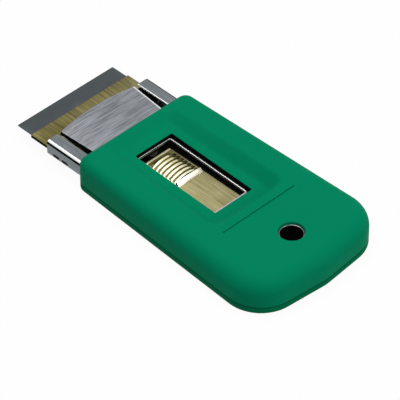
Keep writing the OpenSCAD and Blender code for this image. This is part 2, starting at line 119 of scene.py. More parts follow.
def combine(target, other, operation, faceMaterial=0):
    for face in other.data.polygons:
        face.material_index = faceMaterial
    step = target.modifiers.new("combine", "BOOLEAN")
    step.operation = operation
    step.solver = "EXACT"
    step.object = other
    settle(target)
    bpy.data.objects.remove(other)


def smoothShade(obj, angle=35):
    mesh = obj.data
    mesh.polygons.foreach_set("use_smooth", [True] * len(mesh.polygons))
    mesh.set_sharp_from_angle(angle=math.radians(angle))


def softenEdges(obj, width, segments=2, angle=40):
    step = obj.modifiers.new("softEdges", "BEVEL")
    step.width = width * mm
    step.segments = segments
    step.limit_method = "ANGLE"
    step.angle_limit = math.radians(angle)
    step.use_clamp_overlap = True
    step.harden_normals = True


def finishPiece(obj, body, materials, angle=35, replaced=()):
    obj.data.materials.clear()
    for material in materials:
        obj.data.materials.append(material)
    smoothShade(obj, angle)
    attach(obj, body)
    if replaced:
        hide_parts(*replaced)
    print("made", obj.name, len(obj.data.polygons), "faces")
    return obj


def paintFaces(obj, spot, chosen):
    # gives the faces that a rule picks, by middle and normal, another material of the piece
    for face in obj.data.polygons:
        if chosen(face.center / mm, face.normal):
            face.material_index = spot


def dropFlaps(obj):
    # removes faces without area that hang on the border by one edge
    noArea = 2e-3 * mm ** 2
    work = bmesh.new()
    work.from_mesh(obj.data)
    flaps = [None]
    while flaps:
        flaps = [face for face in work.faces
                 if face.calc_area() < noArea and any(len(e.link_faces) == 1 for e in face.edges)]
        bmesh.ops.delete(work, geom=flaps, context="FACES")
    work.to_mesh(obj.data)
    work.free()


def cutLine(obj, point, across):
    # scores the faces along a plane, so that a rule can tell its two sides apart
    work = bmesh.new()
    work.from_mesh(obj.data)
    bmesh.ops.bisect_plane(work, geom=work.verts[:] + work.edges[:] + work.faces[:], dist=1e-7,
                           plane_co=Vector(point) * mm, plane_no=Vector(across))
    work.to_mesh(obj.data)
    work.free()


def arc(cx, cy, r, a0, a1, count):
    return [(cx + r * math.cos(a0 + (a1 - a0) * i / count), cy + r * math.sin(a0 + (a1 - a0) * i / count))
            for i in range(count + 1)]


def roundBox(x0, x1, y0, y1, r, count=6, spacing=None):
    # closed loop, counter-clockwise
    loop = []
    corners = ((x1 - r, y0 + r, -90), (x1 - r, y1 - r, 0), (x0 + r, y1 - r, 90), (x0 + r, y0 + r, 180))
    for cx, cy, turn in corners:
        loop += arc(cx, cy, r, math.radians(turn), math.radians(turn + 90), count)
    return fillLoop(loop, spacing) if spacing else loop


def fillLoop(loop, spacing):
    # adds points on the long straight runs
    full = []
    for (x0, y0), (x1, y1) in zip(loop, loop[1:] + loop[:1]):
        parts = max(1, round(math.hypot(x1 - x0, y1 - y0) / spacing))
        full += [(x0 + (x1 - x0) * i / parts, y0 + (y1 - y0) * i / parts) for i in range(parts)]
    return full


def circleLoop(cx, cy, r, count=64):
    return arc(cx, cy, r, 0, 2 * math.pi, count)[:-1]


def joinRings(rings, faces, size):
    # rings are starts of equal runs of vertices
    for a, b in zip(rings, rings[1:]):
        for i in range(size):
            j = (i + 1) % size
            faces.append((a + i, a + j, b + j, b + i))


def loft(name, loops):
    # loops: equal closed rings of 3D points, capped at both ends
    size = len(loops[0])
    verts = [p for loop in loops for p in loop]
    faces = [tuple(range(size))[::-1], tuple(range(len(verts) - size, len(verts)))]
    joinRings([i * size for i in range(len(loops))], faces, size)
    return makeMesh(name, verts, faces)


def box(name, x0, x1, y0, y1, z0, z1):
    ring = [(x0, y0), (x1, y0), (x1, y1), (x0, y1)]
    return loft(name, [[(x, y, z) for x, y in ring] for z in (z0, z1)])


def pin(name, x, y, r, z0, z1, count=48):
    return loft(name, [[(px, py, z) for px, py in circleLoop(x, y, r, count)] for z in (z0, z1)])


def turned(name, x, y, profile, count=96):
    # closed (radius, height) profile turned about an upright axis
    verts = []
    for i in range(count):
        a = 2 * math.pi * i / count
        verts += [(x + r * math.cos(a), y + r * math.sin(a), z) for r, z in profile]
    size = len(profile)
    faces = []
    for i in range(count):
        a, b = i * size, (i + 1) % count * size
        for k in range(size):
            n = (k + 1) % size
            faces.append((a + k, a + n, b + n, b + k))
    return makeMesh(name, verts, faces)


def bendPath(path, radius, segments=5):
    # rounds the corners of an open path
    out = [path[0]]
    for before, corner, after in zip(path, path[1:], path[2:]):
        c = Vector(corner)
        u = (Vector(before) - c).normalized()
        v = (Vector(after) - c).normalized()
        half = u.angle(v) / 2
        reach = radius / math.tan(half)
        middle = c + (u + v).normalized() * (radius / math.sin(half))
        first, last = c + u * reach, c + v * reach
        a0 = math.atan2(first.y - middle.y, first.x - middle.x)
        a1 = math.atan2(last.y - middle.y, last.x - middle.x)
        turn = (a1 - a0 + math.pi) % (2 * math.pi) - math.pi
        out += arc(middle.x, middle.y, radius, a0, a0 + turn, segments)
    return out + [path[-1]]


def sheetProfile(path, thickness, bend, segments=5):
    # closed outline of a bent sheet round its middle line, with the corners of both ends cut round
    middle = [Vector(p) for p in bendPath(path, bend, segments)]
    left, right = [], []
    for i, p in enumerate(middle):
        way = Vector((0, 0))
        for step in (middle[min(i + 1, len(middle) - 1)] - p, p - middle[max(i - 1, 0)]):
            if step.length > 1e-9:
                way += step.normalized()
        way.normalize()
        side = Vector((-way.y, way.x)) * thickness / 2
        left.append(tuple(p + side))
        right.append(tuple(p - side))
    loop = left + right[::-1]
    count = len(loop)
    ends = {0, len(left) - 1, len(left), count - 1}
    corner = thickness * 0.4
    out = []
    for i, p in enumerate(loop):
        if i not in ends:
            out.append(p)
            continue
        here = Vector(p)
        a = here + (Vector(loop[i - 1]) - here).normalized() * corner
        b = here + (Vector(loop[(i + 1) % count]) - here).normalized() * corner
        out += [tuple(a * (1 - t) ** 2 + here * 2 * t * (1 - t) + b * t ** 2) for t in (0, 1 / 3, 2 / 3, 1)]
    return out


def acrossTool(name, profile, y0, y1):
    # (x, z) outline pulled across the tool
    return loft(name, [[(x, y, z) for x, z in profile] for y in (y0, y1)])


def alongTool(name, stations):
    # (y, z) outlines pulled along the tool, given with their x
    return loft(name, [[(x, y, z) for y, z in outline] for x, outline in stations])


def insideLoop(points, loop):
    x, y = points[:, 0], points[:, 1]
    inside = np.zeros(len(points), bool)
    for (x0, y0), (x1, y1) in zip(loop, loop[1:] + loop[:1]):
        if y0 == y1:
            continue
        hit = ((y0 > y) != (y1 > y)) & (x < (x1 - x0) * (y - y0) / (y1 - y0) + x0)
        inside ^= hit
    return inside


def tileArea(border, holes, guides, spacing):
    # triangles over an area with holes; guides are runs of points that the edges follow
    points, edges = [], []
    for run, closed in [(border, True)] + [(h, True) for h in holes] + guides:
        start = len(points)
        points += [tuple(p) for p in run]
        edges += [(start + i, start + i + 1) for i in range(len(run) - 1)]
        if closed:
            edges.append((start + len(run) - 1, start))
    tree = kdtree.KDTree(len(points))
    for i, p in enumerate(points):
        tree.insert((p[0], p[1], 0), i)
    tree.balance()
    # staggered rows of points, begun a little inside the border
    xs = [p[0] for p in border]
    ys = [p[1] for p in border]
    rowStep = spacing * 0.866
    grid = []
    row = 0
    y = min(ys) + spacing * 0.37
    while y < max(ys):
        x = min(xs) + spacing * (0.31 + 0.5 * (row % 2))
        while x < max(xs):
            grid.append((x, y))
            x += spacing
        y += rowStep
        row += 1
    spots = np.array(grid)
    keep = insideLoop(spots, border)
    for hole in holes:
        keep &= ~insideLoop(spots, hole)
    clear = spacing * 0.55
    for x, y in spots[keep]:
        if tree.find((x, y, 0))[2] > clear:
            points.append((x, y))
    made = geometry.delaunay_2d_cdt([Vector(p) for p in points], edges, [], 0, 1e-5)
    flat = np.array([tuple(p) for p in made[0]])
    tris = np.array(made[2])
    middles = flat[tris].mean(1)
    keep = insideLoop(middles, border)
    for hole in holes:
        keep &= ~insideLoop(middles, hole)
    place = {}
    for i, sources in enumerate(made[3]):
        for s in sources:
            place[s] = i
    runs, start = [], 0
    for run in [border] + holes:
        runs.append([place[start + i] for i in range(len(run))])
        start += len(run)
    return flat, [tuple(t) for t in tris[keep].tolist()], runs


def slab(name, border, holes, top, bottom, spacing, guides=()):
    # flat piece between two height functions
    flat, tris, runs = tileArea(border, holes, list(guides), spacing)
    count = len(flat)
    verts = [(x, y, top(x, y)) for x, y in flat] + [(x, y, bottom(x, y)) for x, y in flat]
    faces = list(tris) + [tuple(i + count for i in t[::-1]) for t in tris]
    for run in runs:
        for i, a in enumerate(run):
            b = run[(i + 1) % len(run)]
            faces.append((a, b, b + count, a + count))
    return makeMesh(name, verts, faces)


def beltOutline(circles, arcStep, spacing):
    # outline round counter-clockwise circles (x, y, radius, edge): points, outward directions, edge radii
    turns = []
    for (x0, y0, r0, _), (x1, y1, r1, _) in zip(circles, circles[1:] + circles[:1]):
        lean = math.asin((r0 - r1) / math.hypot(x1 - x0, y1 - y0))
        turns.append(math.atan2(y1 - y0, x1 - x0) - math.pi / 2 + lean)
    out = []
    for i, (x, y, r, edge) in enumerate(circles):
        a0, a1 = turns[i - 1], turns[i]
        while a1 < a0:
            a1 += 2 * math.pi
        count = max(1, math.ceil(r * (a1 - a0) / arcStep))
        for k in range(count + 1):
            a = a0 + (a1 - a0) * k / count
            n = (math.cos(a), math.sin(a))
            out.append((x + r * n[0], y + r * n[1], n, edge))
        nx, ny, nr, nextEdge = circles[(i + 1) % len(circles)]
        n = (math.cos(a1), math.sin(a1))
        ex, ey = nx + nr * n[0], ny + nr * n[1]
        sx, sy = out[-1][:2]
        parts = max(1, round(math.hypot(ex - sx, ey - sy) / spacing))
        for k in range(1, parts):
            t = k / parts
            out.append((sx + (ex - sx) * t, sy + (ey - sy) * t, n, edge + (nextEdge - edge) * t))
    return out


# --- surface effects that materials share ---


def newGroup(name, inputs, outputs):
    tree = bpy.data.node_groups.new(name, "ShaderNodeTree")
    for label, kind, value in inputs:
        socket = tree.interface.new_socket(label, in_out="INPUT", socket_type=kind)
        socket.default_value = value
    for label, kind in outputs:
        tree.interface.new_socket(label, in_out="OUTPUT", socket_type=kind)
    return tree, tree.nodes.new("NodeGroupInput"), tree.nodes.new("NodeGroupOutput")


def setInput(tree, socket, value):
    # a socket is linked, a plain value is set
    if isinstance(value, bpy.types.NodeSocket):
        tree.links.new(value, socket)
    else:
        socket.default_value = value


def addNode(tree, kind, settings=None, **values):
    # inputs go by their names, with _ for a space, or by place as in0, in1 and so on
    node = tree.nodes.new(kind)
    for key, value in (settings or {}).items():
        setattr(node, key, value)
    for key, value in values.items():
        spot = int(key[2:]) if key.startswith("in") and key[2:].isdigit() else key.replace("_", " ")
        setInput(tree, node.inputs[spot], value)
    return node


def calc(tree, operation, *values, clamp=False):
    node = addNode(tree, "ShaderNodeMath", {"operation": operation, "use_clamp": clamp})
    for socket, value in zip(node.inputs, values):
        setInput(tree, socket, value)
    return node.outputs[0]


def objectPlace(tree):
    return addNode(tree, "ShaderNodeTexCoord").outputs["Object"]


def addNoise(tree, place, scale, detail, roughness):
    return addNode(tree, "ShaderNodeTexNoise", Vector=place, Scale=scale, Detail=detail, Roughness=roughness)


floatKind, colorKind = "NodeSocketFloat", "NodeSocketColor"


def makeBrushedLines():
    # long thin lines, as left by a belt: Turn is their direction in degrees from the tool's length
    tree, start, end = newGroup("brushedLines", [
        ("Turn", floatKind, 0.0), ("Lines per mm", floatKind, 4.0), ("Stretch", floatKind, 30.0),
        ("Contrast", floatKind, 0.5)], [("Lines", floatKind), ("Height", floatKind)])
    angle = calc(tree, "RADIANS", start.outputs["Turn"])
    rotated = addNode(tree, "ShaderNodeVectorRotate", {"rotation_type": "Z_AXIS"}, Vector=objectPlace(tree),
                      Angle=angle)
    across = calc(tree, "MULTIPLY", start.outputs["Lines per mm"], 1 / mm)
    lengthwise = calc(tree, "DIVIDE", across, start.outputs["Stretch"])
    scale = addNode(tree, "ShaderNodeCombineXYZ", in0=lengthwise, in1=across, in2=across)
    spread = addNode(tree, "ShaderNodeVectorMath", {"operation": "MULTIPLY"}, in0=rotated.outputs[0],
                     in1=scale.outputs[0])
    noise = addNoise(tree, spread.outputs[0], 1.0, 4.0, 0.62)
    centred = calc(tree, "SUBTRACT", noise.outputs[0], 0.5)
    strength = calc(tree, "MULTIPLY", centred, start.outputs["Contrast"])
    setInput(tree, end.inputs["Lines"], calc(tree, "MULTIPLY_ADD", strength, 3.0, 0.5, clamp=True))
    setInput(tree, end.inputs["Height"], noise.outputs[0])
    return tree


def makeFineGrain():
    # the fine texture of moulded and rolled surfaces
    tree, start, end = newGroup("fineGrain", [
        ("Grain mm", floatKind, 0.3), ("Softness", floatKind, 0.5)],
        [("Height", floatKind), ("Speckle", floatKind)])
    place = objectPlace(tree)
    size = calc(tree, "DIVIDE", 1 / mm, start.outputs["Grain mm"])
    noise = addNoise(tree, place, size, 3.0, start.outputs["Softness"])
    cells = addNode(tree, "ShaderNodeTexVoronoi", Vector=place, Scale=size)
    both = calc(tree, "MULTIPLY_ADD", cells.outputs["Distance"], 0.4, noise.outputs[0])
    setInput(tree, end.inputs["Height"], both)
    setInput(tree, end.inputs["Speckle"], noise.outputs[0])
    return tree


def makeToneDrift():
    # two close colours that drift into each other over the surface
    tree, start, end = newGroup("toneDrift", [
        ("Main", colorKind, (0.5, 0.5, 0.5, 1)), ("Other", colorKind, (0.4, 0.4, 0.4, 1)),
        ("Patch mm", floatKind, 12.0), ("Share", floatKind, 0.5)], [("Color", colorKind)])
    size = calc(tree, "DIVIDE", 1 / mm, start.outputs["Patch mm"])
    noise = addNoise(tree, objectPlace(tree), size, 5.0, 0.6)
    spread = addNode(tree, "ShaderNodeMapRange", in0=noise.outputs[0], in1=0.3, in2=0.7)
    amount = calc(tree, "MULTIPLY", spread.outputs[0], start.outputs["Share"], clamp=True)
    mix = addNode(tree, "ShaderNodeMix", {"data_type": "RGBA"}, in0=amount, in6=start.outputs["Main"],
                  in7=start.outputs["Other"])
    setInput(tree, end.inputs["Color"], mix.outputs[2])
    return tree


def makeEdgeWear():
    # rubbed mask on outer edges and corners, broken up by noise
    tree, start, end = newGroup("edgeWear", [
        ("Amount", floatKind, 0.5), ("Break mm", floatKind, 1.5)], [("Mask", floatKind)])
    shape = addNode(tree, "ShaderNodeNewGeometry")
    size = calc(tree, "DIVIDE", 1 / mm, start.outputs["Break mm"])
    noise = addNoise(tree, objectPlace(tree), size, 4.0, 0.7)
    outer = addNode(tree, "ShaderNodeMapRange", in0=shape.outputs["Pointiness"], in1=0.52, in2=0.62)
    broken = calc(tree, "MULTIPLY", outer.outputs[0], noise.outputs[0])
    setInput(tree, end.inputs["Mask"], calc(tree, "MULTIPLY", broken, start.outputs["Amount"], clamp=True))
    return tree


brushedLines = makeBrushedLines()
fineGrain = makeFineGrain()
toneDrift = makeToneDrift()
edgeWear = makeEdgeWear()
print("made the shared surface effects")


def useGroup(tree, group, **values):
    return addNode(tree, "ShaderNodeGroup", {"node_tree": group}, **values)


def srgb(r, g, b):
    # colour as read from a picture, 0 to 255
    def one(v):
        v /= 255
        return v / 12.92 if v <= 0.04045 else ((v + 0.055) / 1.055) ** 2.4
    return one(r), one(g), one(b), 1


def startMaterial(name):
    material = bpy.data.materials.new(name)
    material.use_nodes = True
    tree = material.node_tree
    return material, tree, tree.nodes["Principled BSDF"]


def driftingColor(tree, look):
    tone = useGroup(tree, toneDrift, Main=srgb(*look["color"]), Other=srgb(*look["otherColor"]),
                    Patch_mm=look["patch"], Share=look["share"])
    return tone.outputs["Color"]


def rubbedColor(tree, look, color):
    wear = useGroup(tree, edgeWear, Amount=look["wear"], Break_mm=look["wearSize"])
    rubbed = addNode(tree, "ShaderNodeMix", {"data_type": "RGBA"}, in0=wear.outputs["Mask"], in6=color,
                     in7=srgb(*look["wornColor"]))
    return rubbed.outputs[2]


def addBump(tree, shader, height, depth):
    bump = addNode(tree, "ShaderNodeBump", Strength=1.0, Distance=depth * mm, Height=height)
    setInput(tree, shader.inputs["Normal"], bump.outputs["Normal"])


def moulded(name, look):
    # moulded plastic or rubber: drift of colour, grain, rubbed edges
    material, tree, shader = startMaterial(name)
    color = rubbedColor(tree, look, driftingColor(tree, look))
    setInput(tree, shader.inputs["Base Color"], color)
    grain = useGroup(tree, fineGrain, Grain_mm=look["grain"], Softness=0.55)
    change = 0.06
    rough = addNode(tree, "ShaderNodeMapRange", in0=grain.outputs["Speckle"], in1=0.3, in2=0.7,
                    in3=look["roughness"] - change, in4=look["roughness"] + change)
    setInput(tree, shader.inputs["Roughness"], rough.outputs[0])
    addBump(tree, shader, grain.outputs["Height"], look["grainDepth"])
    shader.inputs["Specular IOR Level"].default_value = look["specular"]
    return material


def brushedMetal(name, look):
    # sheet metal with belt lines, stains and bright rubbed edges
    material, tree, shader = startMaterial(name)
    lines = useGroup(tree, brushedLines, Turn=look["turn"], Lines_per_mm=look["lines"],
                     Stretch=look["stretch"], Contrast=look["contrast"])
    shades = addNode(tree, "ShaderNodeMapRange", in0=lines.outputs["Lines"], in3=look["streakLow"],
                     in4=look["streakHigh"])
    streaked = addNode(tree, "ShaderNodeMix", {"data_type": "RGBA", "blend_type": "MULTIPLY"}, in0=1.0,
                       in6=driftingColor(tree, look), in7=shades.outputs[0])
    setInput(tree, shader.inputs["Base Color"], rubbedColor(tree, look, streaked.outputs[2]))
    change = 0.07
    rough = addNode(tree, "ShaderNodeMapRange", in0=lines.outputs["Lines"], in3=look["roughness"] - change,
                    in4=look["roughness"] + change)
    setInput(tree, shader.inputs["Roughness"], rough.outputs[0])
    addBump(tree, shader, lines.outputs["Height"], look["lineDepth"])
    shader.inputs["Metallic"].default_value = look["metallic"]
    return material


gripLook = {
    "color": (0, 136, 97), "otherColor": (0, 131, 93), "patch": 16.0, "share": 0.6,
    "wear": 0.06, "wearSize": 1.2, "wornColor": (30, 152, 112),
    "grain": 0.35, "grainDepth": 0.02, "roughness": 0.6, "specular": 0.02,
}
baseLook = dict(gripLook, color=(0, 118, 80), otherColor=(0, 110, 75))
# painted shade: near-black for walls, gaps and hollows that lie in shadow
shadowLook = {
    "color": (8, 9, 9), "otherColor": (3, 4, 4), "patch": 6.0, "share": 0.6,
    "wear": 0.05, "wearSize": 1.0, "wornColor": (20, 24, 23),
    "grain": 0.3, "grainDepth": 0.01, "roughness": 0.75, "specular": 0.03,
}
bladeLook = {
    "color": (70, 76, 78), "otherColor": (61, 68, 71), "patch": 9.0, "share": 0.7,
    "turn": 90.0, "lines": 7.0, "stretch": 40.0, "contrast": 0.35, "streakLow": 0.82, "streakHigh": 1.1,
    "wear": 0.3, "wearSize": 0.6, "wornColor": (120, 126, 130), "roughness": 0.42, "lineDepth": 0.003,
    "metallic": 0.85,
}
brassLook = {
    "color": (166, 159, 115), "otherColor": (144, 137, 93), "patch": 7.0, "share": 0.8,
    "turn": 0.0, "lines": 2.6, "stretch": 26.0, "contrast": 0.9, "streakLow": 0.66, "streakHigh": 1.15,
    "wear": 0.4, "wearSize": 0.8, "wornColor": (205, 196, 150), "roughness": 0.36, "lineDepth": 0.006,
    "metallic": 0.9,
}
stripLook = dict(brassLook, color=(122, 114, 66), otherColor=(94, 88, 48), lines=1.5, streakLow=0.45,
                 streakHigh=1.2, contrast=1.1)
padLook = dict(brassLook, color=(140, 135, 88), otherColor=(112, 108, 62), lines=3.0, contrast=0.5,
               streakLow=0.75, streakHigh=1.1, roughness=0.3, wornColor=(190, 184, 140))
# painted glint: near-white brass for the pad's rear face and highest crests
padWornLook = dict(brassLook, color=(252, 248, 228), otherColor=(232, 224, 190), turn=90.0, lines=4.0,
                   contrast=0.3, streakLow=0.9, streakHigh=1.05, roughness=0.26, wornColor=(255, 252, 240))
coverLook = {
    "color": (128, 131, 136), "otherColor": (111, 115, 120), "patch": 14.0, "share": 0.7,
    "turn": 90.0, "lines": 2.4, "stretch": 22.0, "contrast": 1.6, "streakLow": 0.6, "streakHigh": 1.25,
    "wear": 0.3, "wearSize": 0.8, "wornColor": (160, 162, 167), "roughness": 0.36, "lineDepth": 0.008,
    "metallic": 0.92,
}
trayLook = dict(coverLook, color=(111, 118, 121), otherColor=(91, 98, 101), turn=0.0, lines=3.0,
                contrast=0.7, roughness=0.28)
# painted highlight: pale nickel along the cut edge of the cover's window
rimHighlightLook = dict(coverLook, color=(200, 203, 205), otherColor=(176, 180, 182), turn=0.0, lines=4.0,
               contrast=0.4, roughness=0.24)
# painted highlight: pale brass for the pad's front lip and the ribs' lit crests
padLipHighlightLook = dict(padLook, color=(226, 219, 176), otherColor=(200, 193, 148), turn=90.0, roughness=0.36)
edgeLook = dict(bladeLook, color=(40, 45, 47), otherColor=(32, 36, 38))
# painted highlight: near-white nickel for bends and cut edges that catch the light
highlightLook = dict(coverLook, color=(244, 246, 247), otherColor=(226, 229, 231), turn=0.0, lines=4.0,
                  contrast=0.3, streakLow=0.9, streakHigh=1.0, roughness=0.34)
fastenerLook = dict(trayLook, color=(160, 162, 166), otherColor=(140, 142, 146), lines=6.0, contrast=0.3,
                    roughness=0.28)
springLook = dict(trayLook, color=(120, 124, 130), otherColor=(98, 102, 110), lines=5.0, contrast=0.4,
                  roughness=0.3)
spineLook = dict(trayLook, color=(165, 166, 168), otherColor=(150, 151, 154), turn=90.0, lines=4.0,
                 roughness=0.3)
eyeletLook = dict(trayLook, color=(130, 134, 134), otherColor=(108, 112, 113), lines=5.0, contrast=0.25,
                  roughness=0.22)

gripGreen = moulded("gripGreen", gripLook)
baseGreen = moulded("baseGreen", baseLook)
paintedShade = moulded("paintedShade", shadowLook)
bladeSteel = brushedMetal("bladeSteel", bladeLook)
sliderBrass = brushedMetal("sliderBrass", brassLook)
stripBrass = brushedMetal("stripBrass", stripLook)
padBrass = brushedMetal("padBrass", padLook)
padWorn = brushedMetal("padWorn", padWornLook)
padLipHighlight = brushedMetal("padLipHighlight", padLipHighlightLook)
bladeEdge = brushedMetal("bladeEdge", edgeLook)
rimHighlightNickel = brushedMetal("rimHighlightNickel", rimHighlightLook)
highlightNickel = brushedMetal("highlightNickel", highlightLook)
coverNickel = brushedMetal("coverNickel", coverLook)
trayNickel = brushedMetal("trayNickel", trayLook)
fastenerSteel = brushedMetal("fastenerSteel", fastenerLook)
springSteel = brushedMetal("springSteel", springLook)
spineSteel = brushedMetal("spineSteel", spineLook)
eyeletNickel = brushedMetal("eyeletNickel", eyeletLook)
print("made", len(bpy.data.materials), "materials")


# --- grip ---

gripForm = {
    "frontWidth": 45.4, "frontCorner": 3.4, "rearCorner": 12.4, "rearBow": 1.2,
    "frontEdge": 3.0, "rearEdge": 5.4,
    "seamLip": 0.25,          # rounding of the upper shell's lower edge
    "seamStep": 0.3,          # depth and height of the seam's groove
    "footEdge": 1.2,
    "recessLead": 0.6, "recessRamp": 6.0,
    "recessFront": 13.7, "recessRear": 14.9,   # half widths
    "recessTail": 7.0, "recessCorner": 5.0, "recessSlope": 4.0, "recessSoft": 0.7,
    "rim": 1.5,               # recess floor above the cover
    "windowCorner": 0.5, "windowEdge": 0.35,
    "hangRadius": 3.9, "hangEdge": 0.45,
    "grooveGap": 3.3, "grooveLength": 29.6, "grooveTop": 0.3, "grooveFoot": 0.15, "grooveDepth": 0.4,
    "tiles": 0.9,
    "pegRadius": 2.4, "pegTop": 9.4, "pegBore": 1.0, "pegBoreTop": 6.7,
    "tailRoom": 19.1, "bed": 18.5,             # half widths inside
    "screwBore": 1.05, "screwSink": 2.2, "screwSinkDepth": 1.15,
    "flangeRoom": 5.3, "flangeDepth": 0.8,
}
recessEnd = windowEnd + gripForm["recessTail"]
grooveX = recessEnd + gripForm["grooveGap"]
gripCircles = [
    (gripLow.x + gripForm["frontCorner"], -gripForm["frontWidth"] / 2 + gripForm["frontCorner"],
     gripForm["frontCorner"], gripForm["frontEdge"]),
    (gripHigh.x - gripForm["rearCorner"] - gripForm["rearBow"], gripLow.y + gripForm["rearCorner"],
     gripForm["rearCorner"], gripForm["rearEdge"]),
    (gripHigh.x - gripForm["rearCorner"], 0, gripForm["rearCorner"], gripForm["rearEdge"]),
    (gripHigh.x - gripForm["rearCorner"] - gripForm["rearBow"], gripHigh.y - gripForm["rearCorner"],
     gripForm["rearCorner"], gripForm["rearEdge"]),
    (gripLow.x + gripForm["frontCorner"], gripForm["frontWidth"] / 2 - gripForm["frontCorner"],
     gripForm["frontCorner"], gripForm["frontEdge"]),
]


def softRamp(t, soft):
    # 0 below, t above, with a round knee
    if t <= -soft:
        return 0.0
    if t >= soft:
        return t
    return (t + soft) ** 2 / (4 * soft)


def recessHalf(x):
    t = (x - gripLow.x) / (recessEnd - gripLow.x)
    return gripForm["recessFront"] + (gripForm["recessRear"] - gripForm["recessFront"]) * t


def recessInset(x, y):
    # distance in from the recess's sides and back
    side = recessHalf(x) - abs(y)
    rear = recessEnd - x
    r = gripForm["recessCorner"]
    if side < r and rear < r:
        return r - math.hypot(r - side, r - rear)
    return min(side, rear)


def recessFloor(x):
    return coverTop(x) + gripForm["rim"]


def gripSurface(x, y):
    full = gripHigh.z - recessFloor(x)
    soft = gripForm["recessSoft"]
    slope = gripForm["recessSlope"]
    lead = gripForm["recessRamp"] - gripForm["recessLead"]
    inward = recessInset(x, y)
    ramp = (softRamp(inward, soft) - softRamp(inward - slope, soft)) / slope
    ahead = x - gripLow.x - gripForm["recessLead"]
    rise = (softRamp(ahead, 0.4) - softRamp(ahead - lead, 1.2)) / lead
    z = gripHigh.z - full * ramp * min(1.0, rise)
    dx, dy = abs(x - grooveX), abs(y) - gripForm["grooveLength"] / 2
    off = max(dx, dx + dy)
    if off < gripForm["grooveTop"] + 1e-4 and dy < gripForm["grooveTop"]:
        t = (gripForm["grooveTop"] - off) / (gripForm["grooveTop"] - gripForm["grooveFoot"])
        z -= gripForm["grooveDepth"] * min(1.0, max(0.0, t))
    fromHang = math.hypot(x - hangMiddle, y) - gripForm["hangRadius"]
    z -= edgeDrop(fromHang, gripForm["hangEdge"])
    z -= edgeDrop(windowDistance(x, y), gripForm["windowEdge"])
    return z


def edgeDrop(distance, r):
    # how far a rounded edge lies below the face, at a distance from its wall
    if distance >= r:
        return 0.0
    return r - math.sqrt(max(0.0, r * r - (r - max(0.0, distance)) ** 2))


def windowDistance(x, y):
    r = gripForm["windowCorner"]
    dx = abs(x - (windowStart + windowEnd) / 2) - (windowEnd - windowStart) / 2 + r
    dy = abs(y) - layout["windowWidth"] / 2 + r
    return math.hypot(max(dx, 0), max(dy, 0)) + min(max(dx, dy), 0) - r


def windowLoop(grow):
    r = gripForm["windowCorner"] + grow
    half = layout["windowWidth"] / 2 + grow
    return roundBox(windowStart - grow, windowEnd + grow, -half, half, r, 5, gripForm["tiles"])


def recessLine(inward):
    # line along the recess at a fixed distance in from its outline
    r = gripForm["recessCorner"]
    xs = np.arange(gripLow.x + gripForm["frontEdge"] + 0.5, recessEnd - r, 0.8)
    side = [(x, recessHalf(x) - inward) for x in xs]
    corner = []
    for k in range(13):
        a = math.pi / 2 * k / 12
        x = recessEnd - (r - (r - inward) * math.sin(a))
        corner.append((x, recessHalf(x) - (r - (r - inward) * math.cos(a))))
    upper = side + corner
    y0 = upper[-1][1]
    count = int(2 * y0 / 0.8)
    rear = [(recessEnd - inward, y0 - 2 * y0 * k / count) for k in range(1, count)]
    return upper + rear + [(x, -y) for x, y in upper[::-1]]


def ringPoint(spot, inset):
    x, y, n, _ = spot
    return x - n[0] * inset, y - n[1] * inset


